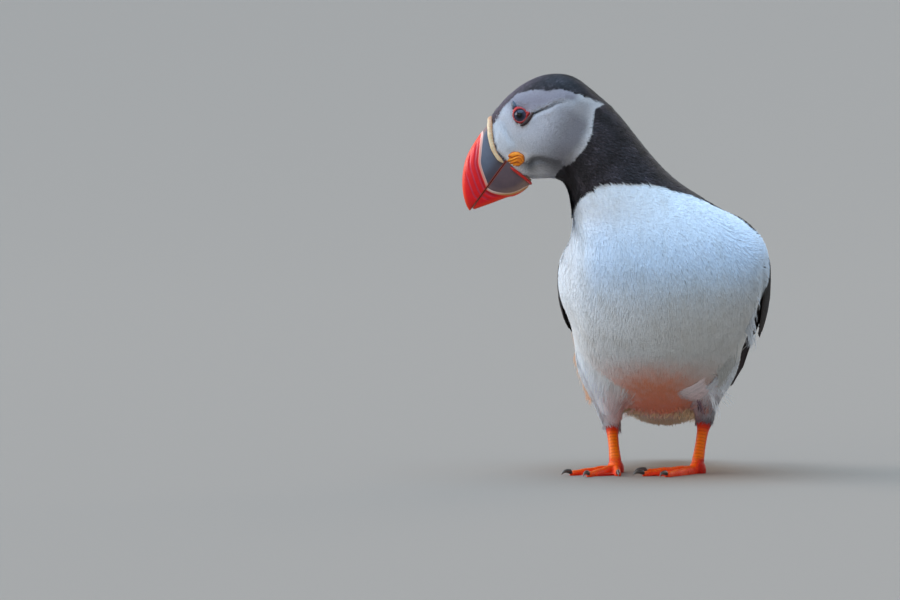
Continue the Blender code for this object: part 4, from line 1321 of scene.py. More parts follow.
def add_strands(white):
    """The loose lock in front of the left thigh, wisps beside both legs and the fringe behind the right thigh."""

    def cluster(number, root, spread, tip, scatter_tip, bow, width, tint, vary=0.06, gap=None, base=None):
        share = np.sort(random.uniform(0, 1, number))
        roots = spline(root, share * (len(root) - 1)) + random.normal(0, spread, (number, 3))
        tips = spline(tip, share * (len(tip) - 1)) + random.normal(0, scatter_tip, (number, 3))
        # with a wave of lighter and darker strands along the cluster: painted shade between lighter clumps
        tone = tint * (random.uniform(1 - vary, 1 + vary, number) + 0.4 * vary * np.sin(share * 26))[:, None]
        bows = np.array(bow, float) * random.uniform(0.8, 1.2, (number, 1))
        strands(white, roots, tips, bows, random.uniform(0.7, 1.2, number) * width, tone, gap, base)

    def ahead(*places):
        """(x, z) places whose depth comes from the skin."""
        return [(x, 0, z) for x, z in places]

    lock = blend(SKY_TINTED_WHITE, PINK, 0.48) * 1.1
    tips = np.array(ahead((13.5, 42.2), (12.2, 41.2), (12.3, 39.6), (14, 37.8), (17, 36.6), (20, 37.2), (22, 39.5)))
    start = np.array([28.0, 0, 49.0])
    # painted shade: the layers nearer the skin are darker, under the outer strands
    for number, gap, tone, wide, reach in ((520, 1.8, 0.8, 0.38, 1.0), (360, 2.5, 1, 0.32, 0.88),
                                           (200, 3.2, 1.08, 0.28, 0.7)):
        cluster(number, ahead((29.5, 52.5), (27.5, 47), (27.5, 43)), 0.35, start + (tips - start) * reach, 0.35,
                (-0.6, 0, -1.6), wide, lock * tone, 0.12, gap)
    cluster(130, ((51, -26, 98), (47, -18, 76)), 1.3, ((52.5, -22, 88), (49.5, -14, 64)), 1.2, (1.4, -0.8, 0), 0.36,
            SKY_TINTED_WHITE * 0.8, 0.1)
    cluster(9, ((31, 3, 46), (32, 8, 40)), 0.9, ((39.5, 4, 38), (36, 6, 31)), 1.2, (0.6, -0.6, -1.2), 0.2, SKY_TINTED_WHITE)
    cluster(14, ((27, 2, 42), (30, 6, 35)), 1.0, ((30, 1, 31), (32.5, 4, 27.5)), 1.0, (0.8, -0.8, 0), 0.22, SKY_TINTED_WHITE)
    # long strands that carry the belly's coat over onto the thighs
    pale, pink = blend(SKY_TINTED_WHITE, PINK, 0.3), blend(SKY_TINTED_WHITE, PINK, 0.75)
    dull = blend(SKY_TINTED_WHITE, OLIVE, 0.45)
    rusty_dull = blend(dull, RUST, 0.35)
    # painted shade: the layers nearer the skin are darker, under the outer strands
    for gap, tone, loose, down in ((0.8, 0.86, 3.2, 0), (1.4, 0.96, 2.4, 2), (2.0, 1.06, 1.8, 5)):
        cluster(900, ahead((-38, 73 - down), (-30, 65 - down), (-22, 57 - down)), loose,
                ahead((-38, 57), (-31, 45), (-24, 35)), 1.8, (-0.5, 0, 0.3), 0.36, SKY_TINTED_WHITE * tone, 0.12, gap, dull)
        cluster(720, ahead((-31, 63 - down), (-22, 56 - down), (-14, 48 - down)), loose,
                ahead((-30, 43), (-24, 34), (-20, 29)), 1.8, (0.8, 0, 0.6), 0.34, pale * tone, 0.12, gap, dull)
        cluster(560, ahead((-22, 52 - down), (-14, 46 - down), (-7, 38 - down)), loose * 0.8,
                ahead((-24, 36), (-20, 30), (-16, 28)), 1.5, (1.6, 0, 0.3), 0.34, pink * tone, 0.12, gap, rusty_dull)
        cluster(420, ahead((-36, 56), (-29, 42)), 1.6, ahead((-31, 42), (-25, 29)), 1.4, (-0.4, 0, 0), 0.36,
                SKY_TINTED_WHITE * tone, 0.12, gap)
        cluster(130, ahead((41, 68 - down), (35, 57 - down)), loose, ahead((38, 53), (33, 42)), 1.8,
                (0.8, 0, -0.4), 0.3, blend(SKY_TINTED_WHITE, OLIVE, 0.5) * tone * 0.8, 0.1, gap, dull)
    # the left ankle's short dark feathers, with a few pale ones across
    for number, gap, tone in ((170, 0.5, ANKLE * 0.6), (150, 0.8, ANKLE * 1.5), (90, 1.1, PINK * 0.7)):
        cluster(number, ahead((21, 38), (25, 37), (30, 38)), 1.3, ahead((22, 31), (25.5, 29), (29.5, 31)), 1.1,
                (0.3, 0, 0), 0.34, tone, 0.25, gap)
    # the warm fringe behind the right thigh
    for number, low, high in ((260, 38, 70), (120, 36, 58)):
        cluster(number, ((-30, 16, low + 6), (-38.5, 10, high + 6)), 1.0,
                ((-35.0, 15, low - 3), (-42.0, 10, high - 3)), 0.8, (-1.2, -0.5, 0.5), 0.36, SALMON, 0.12)
    # the ragged edge of the down below the tail
    for number, depth, tone in ((260, 20, CREAM * 1.1), (200, 26, CREAM * 0.9)):
        cluster(number, ((-17, depth, 36), (24, depth, 31)), 1.3, ((-20, depth - 1, 30), (23, depth, 25.5)), 1.2,
                (0, 0, -0.6), 0.34, tone, 0.14)


def drifting(points, broad, fine, seeds):
    """A slow wandering of the feathers' way, the same in each direction."""
    wander = soft_noise(points, broad, seeds[0]) + fine[1] * soft_noise(points, fine[0], seeds[1])
    return np.stack([wander] * 3, -1)


def feathers_of_front(coat):
    """The white front and belly, and the loose down along the belly's lower edge."""

    def density(t, angle, points):
        return COUNT * np.interp(t, (0, 3, 8, 10.8), (1.1, 1.0, 1.15, 1.7))

    t, angle = scatter(body_surface, ((0.1, 10.95), (0, 2 * pi)), (260, 260), density)
    points, along, _, _ = tangents(body_surface, t, angle)
    colour, kind = markings(points, t, angle)
    front = np.abs(from_front(angle))
    near_wing = (points[:, 2] > 70) | (points[:, 1] > 26)
    under = buried(body_surface(t, angle, -BODY_DEPTH), np.where(near_wing & (t < 9.2), 0.9, 3.0))
    keep = (kind == WHITE) & ~under
    t, angle, points, along, colour, front = (x[keep] for x in (t, angle, points, along, colour, front))
    heading = body_heading(points, t, along)
    heading = unit(heading + 0.07 * drifting(points, 26, (9, 0.8), (5, 8)) * np.array([1, 0.3, 0]))
    sweep = ease(62, 84, front) * ease(5.8, 6.6, t) * ease(9.2, 8.4, t) * (0.8 * (points[:, 0] > 0) + 0.1)
    heading = unit(heading + sweep[:, None] * np.array([0, 1.1, 0]))
    length = np.interp(t, (0.1, 2, 5, 8, 10.8), (9.5, 9.5, 9.0, 8.0, 5.0))
    length = length * np.interp(front, (0, 60, 90), (1, 1, 1.3))
    ragged = ease(4.2, 2.4, t) * ease(95, 60, front)
    lift = 1.05 + np.interp(front, (50, 90), (0.0, 0.5)) + ragged * (0.8 + 1.3 * random.uniform(0, 1, len(t)) ** 2)
    length = length * (1 + 0.5 * sweep)
    lift = lift * np.interp(points[:, 2], (75, 115), (1.0, 0.55)) + 0.7 * sweep
    smooth = points[:, 2] > 98  # the breast is sleeker than the belly
    for some, fan, tilt, uneven in ((smooth, 0.09, 0.03, 0.12), (~smooth, 0.16, 0.08, 0.3)):
        tufts(coat, body_surface, t[some], angle[some], heading[some], length[some], 0.44, lift[some],
              colour[some], body_chart(t[some], angle[some]), fan=fan, sink=0.3, tilt=tilt, uneven=uneven)
    return t, front, points, heading, colour


def feathers_over_wing(coat, side):
    """The flank's white feathers that lie over the wing's lower front edge."""
    surface = wing_surface(side)

    def density(share, across, points):
        return 1.3 * COUNT * (under_flank(side, points, across) > 1.5)

    share, across = scatter(surface, ((0.012, 0.5), (-0.96, 0.2)), (90, 60), density)
    points, along, _, _ = tangents(surface, share, across)
    # painted light as on the front: duller and warmer going down
    tone = blend(SKY_TINTED_WHITE, OLIVE, 0.3 * ease(118, 90, points[:, 2]))
    way = unit(unit(along) * 0.5 + np.array([0, -0.1, -1.0]))
    room = np.clip(under_flank(side, points, across), 1.5, 7)
    tufts(coat, surface, share, across, way, 2.5 + 0.8 * room, 0.46, 1.3, tone,
          WING_CHART[side](share, (across + 1) / 2), fan=0.14, sink=0.3, tilt=0.05, uneven=0.3)


def down_of_belly(coat, t, front, points, heading, colour):
    """Loose down along the belly's lower edge."""
    some = (t < 3.4) & (front < 60) & (random.uniform(0, 1, len(t)) < 0.3)
    here, normal = hug(points[some], np.zeros(some.sum()))
    tips = here + heading[some] * random.uniform(1.5, 4, some.sum())[:, None]
    tips = tips + normal * random.uniform(1.2, 3.0, some.sum())[:, None]
    width = np.full(some.sum(), 0.4)
    strands(coat, here, tips + random.normal(0, 0.5, here.shape), normal * 0.4, width, colour[some])


def feathers_of_thigh(coat, side):
    """Long loose feathers down the thigh, short and close at the ankle."""
    surface = thigh_surface(side)
    share, angle = scatter(surface, ((0.02, THIGH_END[side]), (0, 2 * pi)), (110, 110), lambda *_: 1.5 * COUNT)
    points, along, _, _ = tangents(surface, share, angle)
    keep = ~buried(surface(share, angle, -1.2), 2.0)
    share, angle, points, along = (x[keep] for x in (share, angle, points, along))
    colour = thigh_markings(points, share / THIGH_END[side], side)
    inward = np.array([-side * 0.45, -0.15, 0]) * ease(0.1, 0.5, share)[:, None]
    wander = 0.14 * drifting(points, 14, (6, 1), (6, 9)) * np.array([1, 0.6, 0])
    heading = unit(unit(along) + inward + wander)
    length = np.interp(share, (0, 0.5, 0.85, 1), (12.0, 10.5, 7.0, 3.6)) * random.uniform(0.8, 1.25, len(share))
    for some, base in ((share < 0.72, None), (share >= 0.72, -1.0)):
        width = np.interp(share[some], (0.5, 1), (0.8, 0.45))
        lift = np.interp(share[some], (0, 0.6, 1), (1.2, 1.5, 1.2))
        tufts(coat, surface, share[some], angle[some], heading[some], length[some], width, lift, colour[some],
              THIGH_CHART[side](share[some], angle[some] / (2 * pi)), fan=0.2, sink=0.3, tilt=0.26, base=base,
              vary=0.09, uneven=0.45)


def coat_of_body():
    coat = Coat()
    front = feathers_of_front(coat)
    for side in (1, -1):
        feathers_over_wing(coat, side)
    down_of_belly(coat, *front)
    for side in (1, -1):
        feathers_of_thigh(coat, side)
    add_strands(coat)
    return coat


def rows_of(surface, start, end, step, span, width):
    """Places in rows like tiles: step(a) and width(a) are millimetres, span(a) the range across."""
    a, shift, places = start, 0.0, []
    sign = 1 if end > start else -1
    while (end - a) * sign > 0:
        low, high = span(a)
        b = np.linspace(low, high, 60)
        line = surface(np.full(60, a), b)
        reach = np.concatenate([[0], np.cumsum(np.linalg.norm(np.diff(line, axis=0), axis=1))])
        number = max(2, int(reach[-1] / width(a)))
        marks = (np.arange(number) + 0.5 + shift) / number * reach[-1]
        marks = marks[marks < reach[-1]]
        places += [(a, spot) for spot in np.interp(marks, reach, b)]
        random.normal(size=len(marks))  # keeps the later draws in their places
        middle = np.array([(low + high) / 2])
        ahead = surface(np.array([a + 0.01]), middle) - surface(np.array([a - 0.01]), middle)
        a += sign * step(a) / (np.linalg.norm(ahead) / 0.02)
        shift = 0.5 - shift
    return np.array(places).T


def feather_row(coat, surface, chart, share, across, length, width, lift, tint, base, **more):
    """Whole feathers side by side, which run along the surface."""
    way = unit(tangents(surface, share, across)[1])
    vanes(coat, surface, share, across, way, length, width, lift, tint, chart(share, (across + 1) / 2), base, **more)


# Widths of the back's feathers by section, and of the wing's coverts from its bend on.
BACK_SIZE = ((0.5, 3, 7, 10), (3.8, 4.6, 4.4, 2.4))
COVERT_SIZE = ((0, 0.15, 0.4), (3.2, 4.2, 6.4))


def coat_of_back():
    coat = Coat()

    def span(t):
        half = np.interp(t, (0, 6, 9, 10), (72, 66, 70, 80))
        return radians(90 - half), radians(90 + half)

    t, angle = rows_of(body_surface, 9.75, 0.35, lambda t: 0.8 * np.interp(t, *BACK_SIZE), span,
                       lambda t: 0.62 * np.interp(t, *BACK_SIZE))
    t = t + random.normal(0, 0.03, len(t))
    angle = angle + random.normal(0, 0.02, len(t))
    points, along, _, _ = tangents(body_surface, t, angle)
    colour, kind = markings(points, t, angle)
    keep = (kind == BLACK) & ~buried(body_surface(t, angle, -BODY_DEPTH), 1.2)
    t, angle, along, colour = (x[keep] for x in (t, angle, along, colour))
    size = np.interp(t, *BACK_SIZE)
    length = size * np.interp(t, (0, 5, 10), (2.9, 2.5, 2.3))
    vanes(coat, body_surface, t, angle, unit(-along), length, size * 1.05, 0.75, colour * (0.9, 0.86, 0.86),
          body_chart(t, angle), -0.75, edge=BROWN * 1.2)
    return coat


def coverts(coat, side):
    """Small feathers over the front half of the wing, in rows like tiles."""
    surface = wing_surface(side)
    share, across = rows_of(surface, 0.015, 0.44, lambda s: 0.62 * np.interp(s, *COVERT_SIZE),
                            lambda s: (-0.97, 0.97), lambda s: 0.58 * np.interp(s, *COVERT_SIZE))
    share = np.clip(share + random.normal(0, 0.004, len(share)), 0.0, 1)
    inside = np.maximum(share, 0.012)
    points, along, _, _ = tangents(surface, inside, across)
    bared = under_flank(side, points, across) < -0.5
    share, inside, across, points, along = (x[bared] for x in (share, inside, across, points, along))
    size = np.interp(share, *COVERT_SIZE)
    colour = blend(INK, BROWN, 0.15 + 0.15 * np.clip(soft_noise(points, 12, 7), -1, 1))
    vanes(coat, surface, inside, across, unit(along), size * 2.2, size * 1.05, 0.8, colour,
          WING_CHART[side](share, (across + 1) / 2), 0.3 - WING_SINK[side], edge=BROWN * 1.1)


def loose_edge(coat, side, height, number=12):
    """Loose feathers along the wing's lower edge, which stand off the flank by a share of its gap."""
    wing = wing_surface(side)

    def lifted(share, across, out=0.0):
        stand = height * LOOSE[side] * np.maximum((np.asarray(share) - LOOSE_FROM[side]) / 0.4, 0)
        return wing(share, across, out + stand)

    across = np.linspace(-0.93, -0.2, number)
    share = LOOSE_FROM[side] + np.linspace(0.05, 0.1, number)
    length = np.linspace(40, 46, number) + 2.5 * (1 + side)
    base = np.linspace(-0.3, 0.6, number) + 1 - WING_SINK[side]
    feather_row(coat, lifted, WING_CHART[side], share, across, length, 6.5, 0.4, INK * 0.55, base, pointed=0.3,
                edge=BROWN)


def secondaries(coat, side, number=13):
    """The wing's long rear feathers, their tips in a slanting line."""
    across = np.linspace(-0.86, 0.93, number)
    feather_row(coat, wing_surface(side), WING_CHART[side], 0.44 + 0.03 * np.cos(across * 3), across,
                np.interp(across, (-1, 1), (37, 27)), 8.4, 0.9, blend(INK, BROWN, 0.25),
                np.linspace(-0.6, 0.1, number), pointed=0.25, edge=BROWN * 1.2)


def flight_feathers(coat, side, face, number):
    """One face of the long flight feathers past the wing."""
    across = np.linspace(-0.8, 0.8, number)
    on_chart = 0.3 * (face < 0)
    feather_row(coat, flight_surface(side, face), lambda u, v: FLIGHT_CHART[side](u + on_chart, v),
                np.full(number, 0.03), across, np.interp(across, (-1, 1), (60, 36)), 5.8, 0.5, INK_GREY * 1.1,
                np.linspace(-0.2, 0.5, number), pointed=0.7, camber=0.06, edge=BROWN * 1.6)


def tail_feathers(coat, face, number):
    """One face of the tail's fan."""
    fan = tail_surface(face)
    across = np.linspace(-0.86, 0.86, number)
    share = np.full(number, 0.02)
    heading = unit(unit(tangents(fan, share, across)[1]) + across[:, None] * (0.10, 0, 0))
    vanes(coat, fan, share, across, heading, 34.5 * (1 - 0.24 * across**2), 5.6, 0.35,
          INK * (1.0 if face > 0 else 1.5), TAIL_CHART(share + 0.3 * (face < 0), (across + 1) / 2),
          -0.2 + 0.5 * (1 - np.abs(across)), pointed=0.15, camber=0.05, edge=BROWN * 1.5)


def coat_of_wings():
    """Wings and tail."""
    coat = Coat()
    for side in (1, -1):
        coverts(coat, side)
        loose_edge(coat, side, 0.45)
        loose_edge(coat, side, 1.0)
        secondaries(coat, side)
        flight_feathers(coat, side, 1, 9)
        flight_feathers(coat, side, -1, 7)
    tail_feathers(coat, 1, 13)
    tail_feathers(coat, -1, 11)
    return coat


head_coats = coat_of_head()
white_coat, back_coat, wing_coat = coat_of_body(), coat_of_back(), coat_of_wings()
head_coats[FACE].finish("coat_face", face_plumage, "grey_feather", 2)
head_coats[BLACK].finish("coat_collar", black_plumage, "black_feather", 4)
white_coat.finish("coat_white", white_plumage, "white_feather", 6)
back_coat.finish("coat_back", wing_paint, "black_feather")
wing_coat.finish("coat_wings", wing_paint, "black_feather")
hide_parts("primaries_left", "primaries_right", "tail")


# ---------------------------------------------------------------- bill


def bill_surface(outline, gape, sign):
    """One mandible: from its base (0) to its tip (1), round from one gape edge over the ridge to the other."""

    def surface(share, turn):
        share = np.clip(share, 0, 1) ** 0.92
        ridge = spline(outline, share * (len(outline) - 1))
        width = spline(np.array(BILL_HALF_WIDTH)[:, None], share * (len(BILL_HALF_WIDTH) - 1))[:, 0]
        start = gape[0] + (gape[1] - gape[0]) * share
        bulge = BILL_BULGE * (1 - share) if sign > 0 else 0.0
        rise, side = bill_ring(np.clip(turn / BILL_OVER, 0, 1) * pi)
        side = np.where(turn > BILL_OVER, -1 + 2 * (turn - BILL_OVER) / 0.16, side) * width
        f = start + (ridge[:, 0] - start) * rise + bulge * 4 * rise * (1 - rise)
        u = GAPE_UP + sign * 0.15 + (ridge[:, 1] - GAPE_UP) * rise
        return head_point(f, u, side)

    return surface


BILL_OVER = 0.84  # share of the way round that runs over the ridge; the rest is the gape's flat face
BANDS = {1: (2.9, 5.7, 8.7), -1: (2.6, 5.0)}  # grooves across the red, from the edge of the slate base


def past_slate(points, sign):
    """Distance forward of the slate base's edge, and distance from the ridge or keel."""
    flat = side_view(points)
    edge, rim = (UPPER_SLATE, CULMEN) if sign > 0 else (LOWER_SLATE, KEEL)
    smooth = spline(edge, np.linspace(0, len(edge) - 1, 24))
    away, _ = line_distance(flat, smooth)
    order = np.argsort(smooth[:, 1])
    ahead = flat[:, 0] > np.interp(flat[:, 1], smooth[order, 1], smooth[order, 0])
    ridge, _ = line_distance(flat, spline(rim, np.linspace(0, len(rim) - 1, 40)))
    return np.where(ahead, away, -away), ridge


def horn_relief(band, ridge, sign):
    """Grooves with a low rim, and the step at the pale band."""
    relief = np.zeros(len(band))
    for place in BANDS[sign]:
        relief -= 0.30 * bell(band, place, 0.42)
        relief += 0.12 * bell(band - place, 0.9, 0.5)
    relief += 0.22 * bell(band, 0.7, 0.55)
    relief -= 0.12 * bell(band, -0.3, 0.3)
    return relief * ease(0.3, 2.2, ridge)


def horn_paint(name, sign):
    """Slate base, pale band, then red with paler grooves and an orange ridge."""
    paint = Paint(name, specular_ior_level=0.32, coat_weight=0.1, coat_roughness=0.25)
    band, ridge = paint.number("band"), paint.number("ridge")
    gape, forward = paint.number("gape"), paint.number("forward")
    streaks = paint.noise(paint.place(turn=(0.2, 0.5, 0.1)), 420.0, 4.0, 0.6, 0.4)
    blotches = paint.noise(paint.place(), 130.0, 3.0)
    wavy = band + (blotches - 0.5) * 0.7
    red = paint.mix(streaks, shade(206, 0, 14), shade(242, 6, 24))
    lines = 0.0
    for place in BANDS[sign]:
        lines = wavy.between(place - 0.55, place + 0.25, 0.3) * 0.8 + lines
    red = paint.mix(lines * ridge.step(2.0, 1.2) * (0.55 + streaks * 0.5), red, shade(190, 60, 90))
    shadow = wavy.between(BANDS[sign][0] - 1.3, BANDS[sign][0] - 0.6, 0.4) * ridge.step(2.2, 1.2)
    red = paint.mix(shadow * 0.6, red, shade(120, 6, 26))
    red = paint.mix((1 - ridge.step(1.0, 0.9)) * (0.8 if sign > 0 else 0.6), red, shade(244, 66, 8))
    red = paint.mix(forward.step(55.5, 2.5) * 0.5, red, shade(190, 40, 14))
    if sign > 0:
        slate = paint.mix(blotches, shade(74, 82, 100), shade(108, 114, 128))
        slate = paint.mix((1 - gape.step(4.5, 3.0)) * 0.75, slate, shade(66, 52, 58))
        slate = paint.mix((1 - ridge.step(1.6, 1.2)) * 0.8, slate, shade(150, 110, 96))
        pale = paint.mix(ridge.step(5.0, 4.0), shade(236, 172, 156), shade(222, 144, 128))
    else:
        slate = paint.mix(blotches, shade(86, 68, 74), shade(116, 94, 98))
        slate = paint.mix((1 - ridge.step(2.6, 2.2)) * 0.8, slate, shade(176, 138, 104))
        slate = paint.mix((band + 2.2).between(0.2, 2.4, 1.0) * 0.5, slate, shade(128, 104, 104))
        pale = paint.mix(ridge.step(2.5, 2.0), shade(196, 134, 70), shade(202, 158, 142))
    slate = paint.mix(streaks * 0.35, slate, shade(58, 58, 72))
    colour = paint.mix((band + (streaks - 0.5) * 0.25).step(1.1 if sign > 0 else 0.9, 0.25), pale, red)
    # a painted highlight: a thin whitish line along the edge of the slate base
    colour = paint.mix(band.between(-0.2, 0.2, 0.12) * 0.5, colour, shade(232, 208, 196))
    colour = paint.mix(band.step(-0.1, 0.18), slate, colour)
    colour = paint.mix((1 - gape.step(0.55, 0.35)) * 0.8, colour, shade(150, 50, 20))
    paint.set(base_color=colour, roughness=0.36 + streaks * 0.16)
    return paint.bump(streaks * 0.5 + blotches * 0.5, 0.0003, 0.25)


def make_bill(name, outline, gape, sign):
    bill = plain_object(name + "_horn", sheet(bill_surface(outline, gape, sign), 150, 120))
    points = points_of(bill.data)
    forward, up, _ = in_head_frame(points)
    gape_away = np.abs(up - GAPE_UP)
    band, ridge = past_slate(points, sign)
    relief = horn_relief(band, ridge, sign) * ease(0.3, 1.2, gape_away)
    move_points(bill.data, points + points_of(bill.data, "normal") * relief[:, None])
    for word, values in (("band", band), ("ridge", ridge), ("gape", gape_away), ("forward", forward)):
        put_values(bill.data, word, values)
    finished(bill, horn_paint(name + " horn", sign), "red_horn", name)
    bill.data.set_sharp_from_angle(angle=radians(50))


make_bill("bill_upper", CULMEN, UPPER_GAPE, 1)
make_bill("bill_lower", KEEL, LOWER_GAPE, -1)


def bead_surface(path, radius, squash):
    """A soft tube along path(share), with its thickness from radius(share)."""

    def surface(share, turn):
        middle, ahead = path(share), unit(path(share + 0.01) - path(share - 0.01))
        across = unit(np.cross(ahead, HEAD_FORWARD))
        other = np.cross(ahead, across)
        a, r = turn * 2 * pi, radius(share)
        return middle + across * (np.cos(a) * r)[:, None] + other * (np.sin(a) * r * squash)[:, None]

    return surface


def cere_path(share):
    rise, side = bill_ring(0.02 + share * (pi - 0.04))
    up = GAPE_UP + 0.2 + (BILL_TOP - GAPE_UP) * rise
    return head_point(bill_edge(rise), up, side * (BILL_HALF_WIDTH[0] + 0.5))


def chin_path(share):
    drop, side = bill_ring(0.10 + share * (pi - 0.20))
    up = GAPE_UP - 1.6 + (-5.9 - GAPE_UP) * drop
    return head_point(np.full_like(drop, 29.7), up, side * (BILL_HALF_WIDTH[0] + 0.15))


def cere_radius(share):
    radius = CERE_RADIUS * (0.62 + 0.38 * np.sin(share * pi))
    radius = radius * ease(-0.01, 0.035, share) ** 0.5 * ease(1.01, 0.965, share) ** 0.5
    return radius * (1 + 0.05 * np.sin(share * 60))


def chin_radius(share):
    return 0.6 * ease(-0.01, 0.06, share) ** 0.5 * ease(1.01, 0.94, share) ** 0.5


def soft_paint(name, first, second, size, roughness, coat=0.15, depth=0.0004, strength=0.5):
    """Bare skin in two tones with fine wrinkles and pores; also its colour and its wrinkles, to paint on."""
    paint = Paint(name, roughness=roughness, specular_ior_level=0.45, coat_weight=coat, coat_roughness=0.3,
                  subsurface_weight=0.12, subsurface_radius=(0.002, 0.0008, 0.0004), subsurface_scale=1.0)
    blotch = paint.noise(paint.place(), size, 3.0)
    fine = paint.noise(paint.place(), 900.0, 3.0)
    base = paint.mix(blotch.step(0.5, 0.25), first, second)
    paint.set(base_color=base)
    return paint.bump(fine, depth, strength), base, fine


def make_cere():
    ridge = plain_object("cere_ridge", sheet(bead_surface(cere_path, cere_radius, 1.15), 160, 28))
    points = points_of(ridge.data)
    spine = cere_path(np.linspace(0, 1, 200))
    away = points - spine[nearest(spine, points)]
    put_values(ridge.data, "rear", -dot(away, HEAD_FORWARD * 0.9 + HEAD_UP * -0.4))
    paint, base, fine = soft_paint("cere", shade(226, 198, 156), shade(206, 170, 124), 300.0, 0.45)
    base = paint.mix(paint.number("rear").step(0.45, 0.4) * 0.9, base, shade(186, 104, 44))
    paint.set(base_color=paint.mix(fine * 0.3, base, shade(244, 226, 194)))
    finished(ridge, paint, "ivory_skin", "cere")


def make_chin():
    band = plain_object("chin_skin", sheet(bead_surface(chin_path, chin_radius, 1.2), 110, 22))
    paint = soft_paint("chin band", shade(206, 34, 16), shade(184, 22, 12), 400.0, 0.4)[0]
    finished(band, paint, "red_lid", "chin_band")


make_cere()
make_chin()

# ---------------------------------------------------------------- rosettes, lids and eyes


def cushion(side, middle, reach, height, relief=None):
    """A low pad on the cheek round a middle (forward, up); reach(angle) is its outline."""

    def surface(u, v):
        turn = v * 2 * pi
        top = u < 0.78
        ring = np.where(top, u / 0.78, (1 - u) / 0.22)
        span = reach(turn) * ring
        f, h = middle[0] + span * np.cos(turn), middle[1] + span * np.sin(turn)
        rise = np.where(top, height * np.sqrt(np.maximum(1 - ring**2, 0)) ** 0.5, -0.7)
        if relief is not None:
            rise = rise + np.where(top, relief(f - middle[0], h - middle[1]) * ease(1.0, 0.75, ring), 0)
        return on_cheek(side, f, h, rise)[0]

    return sheet(surface, 70, 90)


def rosette_reach(turn):
    """The rosette's outline: a wavy oval, its long way from the gape up and back, with a blunt corner."""
    a = np.cos(turn) * ROSETTE_WAY[0] + np.sin(turn) * ROSETTE_WAY[1]
    b = -np.cos(turn) * ROSETTE_WAY[1] + np.sin(turn) * ROSETTE_WAY[0]
    oval = 1 / np.sqrt((a / ROSETTE_RADII[0]) ** 2 + (b / ROSETTE_RADII[1]) ** 2)
    corner = bell((turn - 0.93 + pi) % (2 * pi) - pi, 0, 0.35)
    return oval * (1 + 0.03 * np.sin(3 * turn + 0.5) + 0.02 * np.sin(9 * turn) + 0.14 * corner)


def rosette_folds(f, u):
    """Wavy folds along the rosette's long way."""
    a, b = f * ROSETTE_WAY[0] + u * ROSETTE_WAY[1], -f * ROSETTE_WAY[1] + u * ROSETTE_WAY[0]
    wave = b + 0.5 * np.sin(a * 0.9 + 0.6) + 0.09 * a * a + 0.35 * np.sin(b * 1.3 + a * 0.8)
    return 0.42 * (np.abs(np.sin(wave * pi / 1.75)) ** 0.7 - 0.6)


def make_rosette(side):
    word = WORDS[side]
    pad = plain_object(f"rosette_{word}_pad", cushion(side, ROSETTE_PLACE, rosette_reach, 1.7, rosette_folds))
    away_f, away_u = (side_view(points_of(pad.data)) - ROSETTE_PLACE).T
    put_values(pad.data, "fold", rosette_folds(away_f, away_u))
    put_values(pad.data, "rim", np.hypot(away_f, away_u) / rosette_reach(np.arctan2(away_u, away_f)))
    finished(pad, rosette_paint, "rosette_skin", f"rosette_{word}")


def make_rosette_paint():
    """Orange with painted shade in the hollows of its folds and a duller rim."""
    paint, base, _ = soft_paint("rosette", shade(246, 150, 0), shade(232, 124, 0), 260.0, 0.55, 0.04)
    # painted shade in the deepest hollows of the folds
    base = paint.mix(1 - (paint.number("fold") + 0.08).step(0.0, 0.12), base, shade(166, 58, 0))
    return paint.set(base_color=paint.mix(paint.number("rim").step(0.93, 0.06) * 0.7, base, shade(168, 84, 30)))


rosette_paint = make_rosette_paint()

# The outer edge of the lids: degrees round the eye and reach.
LID = [(-156, 3.85), (-139, 5.5), (-125, 4.3), (-97, 3.95), (-59, 4.05), (-42, 4.45), (-22, 3.75), (35, 3.75),
       (52, 3.85), (69, 3.95), (90, 4.4), (120, 4.7), (131, 4.45), (162, 3.9)]
LID_INNER = 3.18
# The dark plates beside the lids, (forward, up) from the eye: the upper one's corners, the lower one's middle line.
UPPER_PLATE = [(-0.3, 4.75), (-1.7, 7.1), (-3.9, 7.65), (-3.3, 5.7), (-2.35, 4.05)]
LOWER_PLATE = [(-5.0, -4.6), (-3.4, -4.6), (-1.0, -4.55), (1.2, -4.4), (2.9, -3.9), (3.9, -3.4)]


def lid_edge(turn):
    """How far the lid's outer edge reaches: pointed at the rear, below in front and at the top."""
    places, reaches = np.radians([p[0] for p in LID]), np.array([p[1] for p in LID])
    steps = [(turn + step + pi) % (2 * pi) - pi for step in np.linspace(-0.10, 0.10, 5)]
    return np.array([np.interp(place, places, reaches, period=2 * pi) for place in steps]).mean(0)


def lid_surface(side):
    """The ring of both lids: by the eye's own plane near the ball, by the cheek further out."""
    middle, outward = eye_axis(side)
    ahead = unit(HEAD_FORWARD - outward * (HEAD_FORWARD @ outward))
    tall = unit(HEAD_UP - outward * (HEAD_UP @ outward) - ahead * (HEAD_UP @ ahead))

    def surface(u, v):
        turn, round_ = u * 2 * pi, v * 2 * pi
        outer = lid_edge(turn)
        reach = (outer + LID_INNER) / 2 - (outer - LID_INNER) / 2 * np.cos(round_)
        rise = 0.4 + (0.35 + 0.3 * ease(0.5, 1.4, outer - LID_INNER)) * np.sin(round_) + 0.35 * ease(4.2, 3.1, reach)
        f, h = reach * np.cos(turn), reach * np.sin(turn)
        cheek, _ = on_cheek(side, EYE_PLACE[0] + f, EYE_PLACE[1] + h, rise)
        plane = middle + ahead * f[:, None] + tall * h[:, None] + outward * rise[:, None]
        share = ease(3.3, 5.2, reach)[:, None]
        return plane * (1 - share) + cheek * share

    return surface


